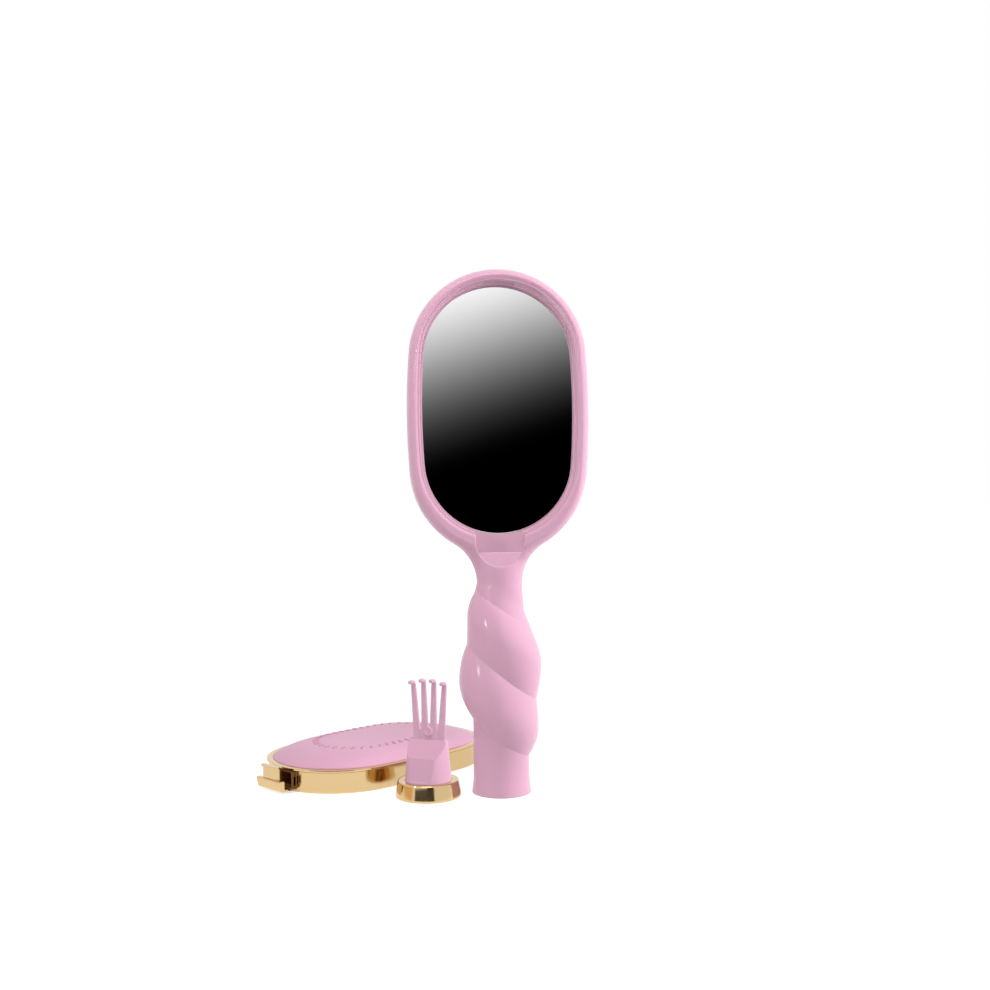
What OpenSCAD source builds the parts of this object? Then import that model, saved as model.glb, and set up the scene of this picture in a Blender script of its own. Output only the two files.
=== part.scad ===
// Detangling brush with a hand mirror, a clip-on mirror cover and a rake that stores in the handle.
// The handle stands upright on its foot, as on a dressing table. The cover and the rake lie beside it.
// Origin: middle of the foot, on the table. +Z runs up the handle, -Y is the mirror side.

/* [Grip] */
// Radius of the foot where it meets the table
foot_r = 13.4; // [13:0.1:16]
// Radius of the ankle above the foot
ankle_r = 12.5; // [12.3:0.1:13]
// Height of the flare at the foot
foot_flare_h = 9; // [4:0.5:14]
// Radius of the neck
neck_r = 10.4; // [9.6:0.1:12]
// Height at which the neck starts to flare into the head
neck_h = 94.3; // [88:0.1:104]
// Greatest reach of a twisted strand from the axis
strand_r = 18.9; // [17:0.1:22]
// Height of the middle of the twist
twist_mid_h = 54.3; // [50:0.1:58]
// Height of one full turn of a strand
twist_lead = 48.8; // [44:0.1:56]
// Turn of the whole twist about the axis
twist_phase = -4; // [-45:1:45]

/* [Head] */
// Width of the head's rim at each side of the mirror pocket
side_margin = 4.8; // [4.4:0.1:8]
// Width of the head beyond the mirror pocket at each end, with the pocket in the middle
end_margin = 6.5; // [6.3:0.1:10]
// Thickness of the head
head_t = 20; // [19:0.5:24]
// How much smaller the radius of the head's round ends is than half its width
end_round = 1; // [0.5:0.1:3]
// Radius of the hollow between neck and head
flare_r = 20; // [15:0.5:24]
// Width over which the edge of the head is rounded
bull_w = 4.3; // [2:0.1:5]

/* [Mirror pocket] */
// Width of the pocket's mouth
mouth_w = 72.4; // [68:0.2:73]
// Length of the pocket's mouth
mouth_len = 116; // [108:0.5:118]
// How far the middle of the pocket lies above the middle of the head
pocket_rise = 1.7; // [0:0.1:2.5]
// Depth of the pocket, from the face of the head to its floor
pocket_d = 10.9; // [10.9:0.1:11.2]
// Depth of the step under the pocket's mouth
step_d = 1; // [0.8:0.1:2]
// Width of the step under the pocket's mouth
step_w = 1; // [0.8:0.1:1.4]
// Width of the strip of floor that shows round the mirror
floor_strip = 0.7; // [0.4:0.1:1.5]
// Thickness of the mirror glass
glass_t = 1.5; // [1:0.1:2]
// Thickness of the adhesive pad behind the glass
glue_t = 0.5; // [0.3:0.1:0.8]
// Width of the slot that takes the cover's tongue
tongue_slot_w = 15.3; // [12:0.1:20]
// How far that slot runs into the pocket's wall
tongue_slot_d = 2.6; // [2.5:0.1:2.8]
// Height of that slot above the pocket's floor
tongue_slot_h = 5.7; // [5:0.1:7]

/* [Thumb notch] */
// Width of the notch
notch_w = 21.7; // [18:0.1:24]
// Height of the middle of the notch's round end
notch_h = 112.6; // [111:0.1:114]
// Height of the edge between the deep part of the notch and its ramp
ramp_edge_h = 108; // [107:0.1:108.2]
// Depth of the ramp at that edge
ramp_d = 3.5; // [2:0.1:4.5]
// Depth of the ramp at its lower end
ramp_end_d = 1; // [0.4:0.1:1.6]
// Width of the catch under the ramp
catch_w = 19; // [18.8:0.1:20]
// Height of the catch above the pocket's floor
catch_h = 6.5; // [6.2:0.1:6.7]
// How far the catch runs in under the ramp
catch_d = 2.2; // [1.8:0.1:2.6]

/* [Bristle cushion] */
// Width of the head's back beside the cushion's retaining ring
ring_margin = 6; // [5:0.1:8]
// Width of the head's back beyond the ring at each end
ring_end_margin = 6.5; // [5.5:0.1:9]
// Width of the ledge that carries the ring
ring_ledge = 1.2; // [1:0.1:2]
// Width of the ring's face
ring_face = 3.2; // [2.4:0.1:4]
// Thickness of the ring
ring_t = 1.5; // [1.2:0.1:2]
// How far the ring lies below the back of the head
ring_sink = 0.4; // [0:0.1:0.6]
// Thickness of the web between mirror and cushion
web_t = 1.6; // [1.2:0.1:2]
// Thickness of the cushion's clamped edge
pad_edge_t = 1.1; // [0.8:0.1:1.4]
// How far the middle of the cushion stands above its edge
pad_crown = 2.4; // [1:0.1:4]
// Length of a bristle above the cushion's edge
bristle_len = 14; // [10:0.5:18]
// Thickness of a bristle
bristle_w = 1.1; // [0.8:0.1:1.4]
// Distance between neighbouring bristles in a row
bristle_pitch = 4.3; // [3.9:0.1:4.4]

/* [Cover] */
// Distance of the cover's middle from the handle, to the right
cover_x = -57.9; // [-64:0.1:-56]
// Distance of the cover's middle from the handle, to the back
cover_y = 52.3; // [50:0.1:58]
// Turn of the cover about the vertical
cover_turn = 43; // [35:1:50]
// Height of the gold rim
rim_h = 10.7; // [10:0.1:10.8]
// Thickness of the rim's wall
rim_wall = 1.6; // [1.2:0.1:2]
// Thickness of the rim's lip
lip_t = 0.9; // [0.7:0.1:1.3]
// Width of the gold band that shows round the face plate
band_w = 3.1; // [2.6:0.1:3.6]
// Thickness of the face plate at its edge
face_t = 2; // [1.6:0.1:2.4]
// How far the middle of the face plate stands above its edge
face_crown = 5.2; // [1:0.1:6]
// How far the edge of the face plate stands above the rim
face_proud = 0.3; // [0.2:0.1:0.8]
// Thickness of the panel inside the cover
panel_t = 1; // [0.8:0.1:1.4]
// How full the swell of the face plate is
face_swell = 5; // [3:0.1:6]
// Length of a dash of the ornament on the face plate
dash_l = 2.6; // [1.5:0.1:4]
// Width of a dash
dash_w = 0.9; // [0.6:0.1:1.4]
// How far a dash stands out of the face plate
dash_t = 0.3; // [0.2:0.05:0.5]
// Length of the tongue at the cover's far end
tongue_l = 2.2; // [1.6:0.1:2.3]
// Thickness of the tongue
tongue_t = 3.2; // [2:0.1:3.6]
// How far the tongue stands above the bottom of the rim
tongue_rise = 0.8; // [0.7:0.1:1.2]

/* [Release clip] */
// Thickness of the clip's inner leg and bend
clip_t = 1; // [0.8:0.1:1.3]
// Thickness of the clip's outer leg
leg_t = 1.7; // [1.2:0.1:2]
// Gap between the two legs of the clip
clip_gap = 3.7; // [3:0.1:3.8]
// Width of the clip's outer leg
clip_w = 10.4; // [8:0.1:12]
// Width of the clip across its lugs
lug_w = 18; // [14:0.1:18.2]
// Height of the clip's lugs
lug_h = 4.9; // [3.8:0.1:5]
// Height of the clip
clip_h = 11; // [8.6:0.1:11.4]
// How far the clip stands above the bottom of the rim
clip_rise = 1.2; // [1:0.1:1.6]
// How far the clip stands off the rim's wall
clip_off = 0.9; // [0.7:0.1:1]
// How far the clip's thumb tab stands out
tab_out = 1.4; // [0.6:0.1:1.6]
// How far the top of a lug leans out to catch under the ramp
barb = 1; // [0.7:0.1:1.2]

/* [Rake] */
// Distance of the rake's middle from the handle, to the right
rake_x = -33; // [-38:0.1:-33]
// Distance of the rake's middle from the handle, to the back
rake_y = -3.8; // [-12:0.1:-2]
// Turn of the rake about the vertical
rake_turn = -25; // [-60:1:-15]
// Radius of the gold base at the table
base_r = 14.85; // [14:0.05:15]
// Radius of the gold base at its top
base_top_r = 13.5; // [13:0.1:14]
// Height of the gold base
base_h = 7.3; // [6:0.1:9]
// Radius of the plug at the gold base
plug_r = 10.3; // [9.8:0.1:10.4]
// Radius of the plug under the chamfer of its top
plug_end_r = 9; // [8.6:0.1:9.4]
// Height of the plug's top above the table
plug_top_h = 24.6; // [22:0.1:27]
// Distance of the plug's flat front from its axis at the gold base
plug_flat = 8.9; // [8.4:0.1:9.4]
// Distance of the flat front from the axis at its upper edge
plug_flat_top = 7; // [6.4:0.1:7.6]
// Height at which the plug's front starts to lean back
plug_lean_h = 17.7; // [15:0.1:19]
// Height of the tips of the inner prongs above the table
tip_h = 52; // [46:0.5:56]
// How much lower the tips of the outer prongs are
tip_drop = 1; // [0:0.1:2]
// Height at which the prongs part
fork_h = 33; // [30:0.5:36]
// Radius of the nibs on the plug's sides
nib_r = 0.7; // [0.5:0.1:1]
// How far the nibs stand out of the plug
nib_out = 0.3; // [0.2:0.05:0.4]
// Height of the lower nibs
nib_h = 10.7; // [9.5:0.1:12]
// Distance between the lower and the upper nibs
nib_pitch = 5.4; // [3:0.1:6]
// Spread of the outer prongs at their tips
tip_spread = 15.4; // [13:0.1:15.8]
// Spread of the outer prongs where they part
fork_spread = 12.2; // [11:0.1:13]
// Width of a prong at its root
prong_w = 3.4; // [2.6:0.1:3.6]
// Width of a prong at its tip
prong_tip_w = 2.2; // [1.8:0.1:2.6]
// Thickness of the prongs
prong_t = 1.7; // [1.4:0.1:1.9]
// Reach of a prong's hook
hook_l = 4.2; // [3:0.1:4.4]
// Radius of the round boss between the prongs
boss_r = 2.1; // [1.4:0.1:2.2]

/* [Fits] */
// Running gap between pieces that move past each other
run_gap = 0.3; // [0.2:0.05:0.4]
// Seating gap between pieces that are fixed together
seat_gap = 0.05; // [0.03:0.01:0.1]
// Gap between the plug and its socket
socket_gap = 0.15; // [0.1:0.05:0.2]
// Wall of the sleeve that lines the socket
sleeve_wall = 0.75; // [0.6:0.05:0.8]

/* [Hidden] */

pink = "#f0b6d0";
gold = "#d9b566";
past = 1; // how far a cut runs past the surface that it opens
$fn = 64;

quarter = twist_lead / 4;

// The two strands meet in creases. Going round from the left side by the front, each list follows
// the same lines: creases are the 1st, 3rd, 5th and so on, and crests lie between them.
// Heights are quarter turns above the middle of the twist.
line_from = 180; // angle of the first list, and each next one is a quarter turn on
line_h = [
  [-3, -2.35, -1.7, -0.35, 1, 2, 3, 4, 5, 6, 7],
  [-4, -3.3, -2.5, -1.2, 0, 1.2, 2.4, 3.4, 4.4, 5.4, 6.4],
  [-5, -4.2, -3.1, -2, -1, 0.35, 1.7, 2.35, 3, 4, 5],
  [-6, -5, -4, -3, -2, -1, 0, 1, 2, 3, 4],
  [-7, -6, -5, -4, -3, -2.35, -1.7, -0.35, 1, 2, 3]];
// How far each line stands out, from 0 at the core to 1 at the strand's greatest reach
line_out = [
  [0, 0, 0.05, 0.97, 0.53, 0.52, 0.05, 0, 0, 0, 0],
  [0, 0, 0.15, 0.87, 0.56, 0.76, 0.2, 0, 0, 0, 0],
  [0, 0, 0, 0.71, 0.61, 0.95, 0.35, 0.06, 0, 0, 0],
  [0, 0, 0, 0, 0.25, 0.8, 0.9, 0.8, 0.25, 0, 0],
  [0, 0, 0, 0, 0, 0, 0.05, 0.97, 0.53, 0.52, 0.05]];
// How sharp each line's crease is
line_sharp = [
  [0, 0, 1, 0, 1, 0, 1, 0, 0, 0, 0],
  [0, 0, 1, 0, 1, 0, 0.9, 0, 0, 0, 0],
  [0, 0, 1, 0, 1, 0, 0, 0, 0, 0, 0],
  [0, 0, 0, 0, 1, 0, 0, 0, 1, 0, 0],
  [0, 0, 0, 0, 0, 0, 1, 0, 1, 0, 1]];

row_step = quarter / 6; // height between the rows of the grip's skin
row_fade = 24; // height over which the slanted rows of the twist level out
skin_n = 48; // points round the grip's skin
end_n = 24; // flats round each end of an oval
side_n = 4; // flats along each side of an oval

head_w = mouth_w + 2 * side_margin;
head_len = mouth_len + 2 * end_margin;
head_end_r = head_w / 2 - end_round;
head_c = head_len / 2 - head_end_r; // from the middle of the head to the middle of its round end
end_h = neck_h + sqrt(pow(head_end_r + flare_r, 2) - pow(neck_r + flare_r, 2));
head_h = end_h + head_c; // height of the middle of the head
flare_h = end_h - head_end_r * (end_h - neck_h) / (head_end_r + flare_r);
crown_h = head_h + head_len / 2;
top_cut = 0.12; // the last ring of the skin lies this far below the crown
half_t = head_t / 2;

pocket_h = head_h + pocket_rise;
mouth_round = 0.8; // how much smaller the radius of the mouth's ends is than half its width
mouth = [mouth_w / 2, mouth_len / 2, mouth_w / 2 - mouth_round];
notch_reach = 8; // how far the notch's cut runs on into the pocket
wall_in = step_w;
glass_in = step_w + floor_strip;
floor_y = pocket_d - half_t;
web_y = floor_y + glass_t + glue_t + web_t;

seat_w = head_w - 2 * ring_margin;
seat = [seat_w / 2, head_len / 2 - ring_end_margin, seat_w / 2 - end_round];
ring_top_y = half_t - ring_sink;
ring_y = ring_top_y - ring_t;
pad_y = ring_y - run_gap - pad_edge_t;
dome_in = ring_face + run_gap;
slab_y = ring_top_y;
slab_in = dome_in + 1.6;
slab_t = 1; // thickness of the disc that carries the bristles
glue_in = 2; // how far the adhesive pad stays inside the glass

lean_y = 0.5; // the plug's upper slope ends this far behind its axis
socket_r = plug_r + socket_gap;
socket_l = plug_top_h - base_h + 1;
sleeve_r = socket_r + sleeve_wall;
prong_bore_r = norm([tip_spread / 2 + prong_tip_w / 2, hook_l - lean_y]) + run_gap;
prong_bore_h = tip_h - base_h + 2;
core_r = neck_r - 3;
core_top = neck_h + 2;
core_h = prong_bore_h + 3;

rim = [mouth[0] - run_gap, mouth[1] - run_gap, mouth[2] - run_gap];
rim_in = step_w; // the lip's overhang is the pocket's step, so that it seats there
face_in = band_w;
face_y = rim_h + face_proud - face_t;
face_ledge = 1.4; // width of the ledge that carries the face plate
opening_in = face_in + face_ledge;
rim_end = rim[1] - rim_in; // outside of the rim's wall at its ends
leg_in_x = rim_end + clip_off;
leg_mid_x = leg_in_x + clip_t;
leg_out_x = leg_mid_x + clip_gap;
clip_x = leg_out_x + leg_t;
hinge_x = leg_mid_x + clip_gap / 2;
under_lip = 0.4; // the clip's inner leg and its bracket end this far below the rim's lip
bend_gap = 0.12; // gap in the bend, between its fixed half and the half that swings

base_floor = 1.6; // floor of the gold base under the plug
base_edge = 0.55; // chamfer of the base's edges
plug_edge = 1.6; // height of the chamfer round the plug's top
flat_rise = 0.6; // the plug's flat front starts this far above the gold base
prong_y = lean_y + 0.2; // front of the prongs
root_h = 14; // height of the prongs' root inside the plug
root_w = fork_spread + prong_w;
boss_h = plug_top_h + 3.7; // height of the boss's middle
nib_turn = 21; // the nibs stand this far behind the plug's widest line
nib_root = 1.4; // how far a nib reaches into the plug
root_end = 3; // the prongs' common root ends this far below their fork
fork_lap = 1; // how far the prongs reach down into that root
boss_out = 0.7; // how far the boss stands out of the root

// Half the width of an oval [half width, half length, end radius] at z from its middle
function side_r(o) = let (c = o[1] - o[2]) (o[0] * o[0] + c * c - o[2] * o[2]) / (2 * (o[0] - o[2]));
function side_a(o) = atan2(o[1] - o[2], side_r(o) - o[0]);
function oval_x(o, z) = let (r = side_r(o), a = abs(z))
  a >= o[1] ? 0
  : a <= r * sin(side_a(o)) ? sqrt(r * r - a * a) - (r - o[0])
  : sqrt(max(0, o[2] * o[2] - pow(a - (o[1] - o[2]), 2)));
function inset(o, d) = [o[0] - d, o[1] - d, o[2] - d];

// Points of an oval: two large side arcs and two round ends, X across and Y along
function oval_half(o, sides = side_n, ends = end_n) = let (r = side_r(o), t = side_a(o),
  c = o[1] - o[2]) concat(
  [for (i = [0:sides]) let (w = t * (2 * i / sides - 1)) [r * cos(w) - (r - o[0]), r * sin(w)]],
  [for (i = [1:ends - 1]) let (w = t + (180 - 2 * t) * i / ends) [o[2] * cos(w), c + o[2] * sin(w)]]);
function oval(o) = let (h = oval_half(o)) concat(h, [for (p = h) -p]);

module oval_plate(o, t) {
  linear_extrude(t) polygon(oval(o));
}

// A closed dish: an oval plate of edge height t whose top swells by crown
module crowned_plate(o, t, crown, swell) {
  rings = 6;
  n = len(oval(o));
  shares = [for (i = [0:rings - 1]) pow(i / rings, 1.8)];
  points = concat(
    [for (p = oval(o)) [p[0], p[1], 0]],
    [for (s = shares) for (p = oval(o))
      [p[0] * (1 - s), p[1] * (1 - s), t + crown * (1 - pow(1 - s, swell))]],
    [[0, 0, t + crown]]);
  faces = concat(
    [[for (k = [0:n - 1]) k]],
    [for (j = [0:rings - 1]) for (k = [0:n - 1]) let (m = (k + 1) % n)
      each [[j * n + k, (j + 1) * n + m, j * n + m], [j * n + k, (j + 1) * n + k, (j + 1) * n + m]]],
    [for (k = [0:n - 1]) [rings * n + k, (rings + 1) * n, rings * n + (k + 1) % n]]);
  polyhedron(points, faces);
}

// Puts an oval that is drawn flat onto the head: its X stays, its Y runs up, its Z runs to the back
module on_head(h, y) {
  translate([0, y, h]) rotate([90, 0, 0]) mirror([0, 0, 1]) children();
}

function smooth(t) = let (u = min(1, max(0, t))) u * u * (3 - 2 * u);

// Radius of the plain core of the grip
function core(z) = z < foot_flare_h
  ? ankle_r + (foot_r - ankle_r) * pow(1 - z / foot_flare_h, 2)
  : ankle_r + (neck_r - ankle_r) * smooth((z - foot_flare_h * 2) / (neck_h - foot_flare_h * 3));

// Lines of the twist at angle a, between the two nearest lists
function lines_at(v, a) = let (q = (a - line_from) / 90, i = min(3, floor(q)), f = q - i)
  v[i] * (1 - f) + v[i + 1] * f;

// Slope of the skin at line k: level on a crest, and on a crease steep towards the crest on that side
function line_slope(h, out, sharp, k, side) = k % 2 == 1 ? 0
  : let (j = k + side, steep = 90 * PI / 180 * (out[j] - out[k]) / (h[j] - h[k]),
      i = max(0, k - 1), n = min(len(h) - 1, k + 1))
    sharp[k] * steep + (1 - sharp[k]) * (out[n] - out[i]) / (h[n] - h[i]);

// How far the twist stands out at t quarter turns above its middle
function twist_out(h, out, sharp, t) = t <= h[0] ? 0
  : let (k = max([for (i = [0:len(h) - 2]) if (h[i] <= t) i]),
    d = h[k + 1] - h[k], f = (t - h[k]) / d, g = 1 - f,
    m = line_slope(h, out, sharp, k, 1) * d, n = line_slope(h, out, sharp, k + 1, -1) * d)
  out[k] * g * g * (1 + 2 * f) + out[k + 1] * f * f * (3 - 2 * f) + m * f * g * g - n * f * f * g;

function grip_r(a, z) = let (t = (z - twist_mid_h) / quarter, r = core(z),
    b = (a - twist_phase - line_from + 720) % 360 + line_from)
  abs(t) >= 4 ? r
  : r + (strand_r - r) * twist_out(lines_at(line_h, b), lines_at(line_out, b), lines_at(line_sharp, b), t);

// Outline of the head and its flare, as half widths
head_oval = [head_w / 2, head_len / 2, head_end_r];
function outline_x(z) = z >= flare_h ? oval_x(head_oval, z - head_h)
  : neck_r + flare_r - sqrt(pow(flare_r, 2) - pow(max(0, z - neck_h), 2));
function flat_x(z) = oval_x(inset(head_oval, bull_w), z - head_h);
function thick_y(z) = let (d = crown_h - z)
  d < bull_w ? half_t * sqrt(1 - pow(1 - d / bull_w, 2))
  : neck_r + (half_t - neck_r) * smooth((z - neck_h) / (flare_h - neck_h));

function skin_point(a, z) = z <= neck_h
  ? let (r = grip_r(a, z)) [r * cos(a), r * sin(a), z]
  : let (w = outline_x(z), f = flat_x(z), c = cos(a))
    [(abs(c) < 1e-6 ? 0 : sign(c) * f) + (w - f) * c, thick_y(z) * sin(a), z];

function span(a, b, n) = [for (i = [1:n]) a + (b - a) * i / n];

// Rows of the skin run level at the foot and above the neck, and along the strands in the twist
crease_h = twist_mid_h + quarter * (twist_phase / 90 + 2);
row_down = floor((crease_h - row_step / 2) / row_step);
row_up = floor((neck_h - crease_h - row_step / 2) / row_step);
function row_drop(z) = quarter / 90
  * smooth(min(z, neck_h - z) / row_fade) * (z < neck_h ? 1 : 0);
skin_heights = concat([0], [for (i = [-row_down:row_up]) crease_h + i * row_step], [neck_h],
  span(neck_h, flare_h, 8),
  [for (a = span(asin((end_h - flare_h) / head_end_r), 0, 7)) end_h - head_end_r * sin(a)],
  span(end_h, end_h + 2 * head_c, 5),
  [for (a = span(0, 80, 12)) end_h + 2 * head_c + head_end_r * sin(a)],
  [crown_h - 0.35, crown_h - top_cut]);

// One half of the solid handle, from angle a0 round to a0 + 180
module half_skin(a0) {
  k = skin_n / 2;
  n = k + 1;
  m = len(skin_heights);
  points = [for (h = skin_heights) for (i = [0:k]) let (a = 180 * i / k, z = h - row_drop(h) * (a - 90),
      p = skin_point(a0 + a, z))
    (i == 0 || i == k) ? [p[0], 0, z] : p];
  faces = concat(
    [[for (i = [0:k]) i]],
    [for (j = [0:m - 2]) for (i = [0:k]) let (e = (i + 1) % n, b = j * n, t = b + n)
      each [[b + i, t + e, b + e], [b + i, t + i, t + e]]],
    [[for (i = [k:-1:0]) (m - 1) * n + i]]);
  polyhedron(points, faces);
}

// What is taken out of both halves: socket, room for the prongs and the hollow core
module grip_hollow() {
  translate([0, 0, -past]) cylinder(r = sleeve_r, h = socket_l + past);
  translate([0, 0, socket_l - past]) cylinder(r = prong_bore_r, h = prong_bore_h - socket_l + past);
  translate([0, 0, core_h]) cylinder(r = core_r, h = core_top - core_h);
}

// The pocket down to the floor, with the step under its mouth and the slot for the cover's tongue
module pocket_cut() {
  on_head(pocket_h, -half_t - 2 * past) oval_plate(mouth, step_d + 2 * past);
  on_head(pocket_h, -half_t) oval_plate(inset(mouth, wall_in), pocket_d);
  translate([-tongue_slot_w / 2, floor_y - tongue_slot_h, pocket_h])
    cube([tongue_slot_w, tongue_slot_h, mouth[1] - wall_in + tongue_slot_d]);
}

// The notch: a deep part against the pocket, then a ramp that rises to the face, with a catch under it
module notch_cut() {
  r = notch_w / 2;
  deep_top = pocket_h - mouth[1] + notch_reach;
  intersection() {
    on_head(0, -half_t - 2 * past) linear_extrude(pocket_d + 2 * past) union() {
      translate([0, notch_h]) circle(r);
      translate([-r, notch_h]) square([notch_w, deep_top - notch_h]);
    }
    translate([-r - past, 0, 0]) rotate([90, 0, 90]) linear_extrude(notch_w + 2 * past) polygon([
      [floor_y, deep_top], [floor_y, ramp_edge_h], [ramp_d - half_t, ramp_edge_h],
      [ramp_end_d - half_t, notch_h - r - past], [-half_t - 3 * past, notch_h - r - past],
      [-half_t - 3 * past, deep_top]]);
  }
  translate([-catch_w / 2, floor_y - catch_h, ramp_edge_h - catch_d])
    cube([catch_w, catch_h, catch_d + past]);
}

module handle_front() {
  color(pink) difference() {
    half_skin(180);
    grip_hollow();
    pocket_cut();
    notch_cut();
  }
}

module handle_rear() {
  color(pink) difference() {
    half_skin(0);
    grip_hollow();
    pocket_cut();
    notch_cut();
    on_head(pocket_h, floor_y - past) oval_plate(inset(mouth, glass_in - seat_gap), glass_t + glue_t + past);
    on_head(head_h, web_y) oval_plate(inset(seat, ring_ledge), half_t);
    on_head(head_h, ring_y) oval_plate(seat, half_t);
  }
}

module socket_sleeve() {
  color("#e3a3bf") difference() {
    cylinder(r = sleeve_r, h = socket_l);
    translate([0, 0, -past]) cylinder(r = socket_r, h = socket_l + 2 * past);
  }
}

module mirror_glass() {
  color("silver") on_head(pocket_h, floor_y) oval_plate(inset(mouth, glass_in), glass_t);
}

module mirror_pad() {
  color("white") on_head(pocket_h, floor_y + glass_t) oval_plate(inset(mouth, glass_in + glue_in), glue_t);
}

module cushion_ring() {
  color(pink) on_head(head_h, ring_y) difference() {
    oval_plate(inset(seat, seat_gap), ring_t);
    translate([0, 0, -past]) oval_plate(inset(seat, ring_face), ring_t + 2 * past);
  }
}

// The rubber cushion: an edge that is held under the ring, and a raised middle
module cushion_pad() {
  color("#e9a9c6") on_head(head_h, pad_y) difference() {
    union() {
      oval_plate(inset(seat, ring_ledge + run_gap), pad_edge_t);
      oval_plate(inset(seat, dome_in), slab_y - pad_y);
    }
    translate([0, 0, slab_y - pad_y - slab_t]) oval_plate(inset(seat, slab_in - seat_gap), slab_t + past);
  }
}

// Feet of the bristles on the cushion, in staggered rows
bristle_field = inset(seat, slab_in + 1.2);
row_pitch = bristle_pitch * sqrt(3) / 2;
row_n = floor(bristle_field[1] / row_pitch);
function row_feet(j) = let (z = j * row_pitch, w = oval_x(bristle_field, z), odd = abs(j) % 2 / 2,
    n = floor(w / bristle_pitch - odd))
  [for (i = [-n - 2 * odd:n]) [(i + odd) * bristle_pitch, z]];
bristle_feet = [for (j = [-row_n:row_n]) each row_feet(j)];
pad_swell = 2.2; // how full the cushion's dome is
function crown_at(p) = let (s = min(1, norm([p[0] / bristle_field[0], p[1] / bristle_field[1]])))
  pad_crown * (1 - pow(s, pad_swell));

// All the bristles as one mesh of separate tapered strands of four sides
module strands() {
  sink = slab_t / 2;
  r = bristle_w / sqrt(2);
  points = [for (f = bristle_feet) each concat(
    [for (a = [45:90:315]) [f[0] + r * cos(a), f[1] + r * sin(a), -sink]],
    [for (a = [45:90:315]) [f[0] + r * 0.6 * cos(a), f[1] + r * 0.6 * sin(a), bristle_len + crown_at(f)]])];
  faces = [for (b = [0:len(bristle_feet) - 1]) let (o = 8 * b) each concat(
    [[o, o + 1, o + 2], [o, o + 2, o + 3], [o + 6, o + 5, o + 4], [o + 7, o + 6, o + 4]],
    [for (k = [0:3]) let (m = (k + 1) % 4) each [[o + k, o + 4 + m, o + m], [o + k, o + 4 + k, o + 4 + m]]])];
  polyhedron(points, faces);
}

module bristles() {
  color("#f6d9e6") on_head(head_h, slab_y) union() {
    translate([0, 0, -slab_t]) crowned_plate(inset(seat, slab_in), slab_t, pad_crown, pad_swell);
    strands();
  }
}

// The cover lies face up beside the handle. Its own X runs from the clip to the tongue
module on_cover() {
  translate([cover_x, cover_y, 0]) rotate([0, 0, cover_turn]) children();
}
module along_cover() {
  rotate([0, 0, -90]) children();
}

module cover_rim() {
  color(gold) on_cover() along_cover() difference() {
    union() {
      oval_plate(inset(rim, rim_in), rim_h - lip_t);
      translate([0, 0, rim_h - lip_t]) oval_plate(rim, lip_t);
    }
    translate([0, 0, -past]) oval_plate(inset(rim, rim_in + rim_wall), face_y - panel_t + past);
    translate([0, 0, -past]) oval_plate(inset(rim, opening_in), rim_h + 2 * past);
    translate([0, 0, face_y]) oval_plate(inset(rim, face_in - seat_gap), rim_h);
  }
}

module cover_face() {
  color(pink) on_cover() along_cover() translate([0, 0, face_y])
    crowned_plate(inset(rim, face_in), face_t, face_crown, face_swell);
}

// A plain ring of raised dashes on the face plate
module cover_ornament() {
  share = 0.66;
  half = oval_half(inset(rim, face_in) * share, 7, 13);
  z = face_y + face_t + face_crown * (1 - pow(share, face_swell));
  color("#f6c9dc") on_cover() along_cover() for (p = concat(half, [for (p = half) -p]))
    translate([p[0], p[1], z]) rotate([0, 0, atan2(p[1], p[0])])
      rotate([0, atan(face_crown * face_swell * pow(share, face_swell) / norm(p)), 0])
        cube([dash_l, dash_w, 2 * dash_t], center = true);
}

module cover_panel() {
  color(pink) on_cover() along_cover() translate([0, 0, face_y - 2 * panel_t])
    oval_plate(inset(rim, rim_in + rim_wall + seat_gap), panel_t);
}

// The tongue at the far end hooks into the slot at the top of the pocket
module cover_tongue() {
  w = tongue_slot_w - 2 * run_gap;
  root = 2; // how far it reaches back to meet the rim's round wall
  color(gold) on_cover() difference() {
    translate([rim_end - root, -w / 2, tongue_rise]) cube([root + tongue_l, w, tongue_t]);
    translate([0, 0, -past]) along_cover() oval_plate(inset(rim, rim_in), rim_h);
  }
}

// A block on the rim's wall with a keyway at each side holds the inner leg of the clip
module clip_bracket() {
  side = 0.3; // how much narrower it is than the clip at each side
  w = lug_w - 2 * side;
  low = clip_rise + 0.2;
  block_h = rim_h - lip_t - under_lip - low;
  root = 4; // how far it reaches back to meet the rim's round wall
  key = 1; // width of a keyway
  key_off = 0.5; // how far a keyway lies from the clip's inner leg
  color(gold) on_cover() difference() {
    translate([seat_gap - leg_in_x, -w / 2, low]) cube([leg_in_x - rim_end + root, w, block_h]);
    for (m = [0, 1]) mirror([0, m, 0])
      translate([key_off - leg_in_x, w / 2 - 2 * key, low + block_h / 4]) cube([key, 3 * key, block_h / 2]);
    translate([0, 0, -past]) along_cover() oval_plate(inset(rim, rim_in), rim_h);
  }
}

// Inner leg and the fixed half of the bend
module clip_anchor() {
  half_gap = clip_gap / 2 - clip_t / 2 - bend_gap;
  leg_h = rim_h - lip_t - clip_rise - under_lip;
  color(gold) on_cover() union() {
    translate([-leg_mid_x, -lug_w / 2, clip_rise]) cube([clip_t, lug_w, leg_h]);
    translate([-leg_mid_x - half_gap, -lug_w / 2, clip_rise]) cube([half_gap + clip_t, lug_w, clip_t]);
  }
}

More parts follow.
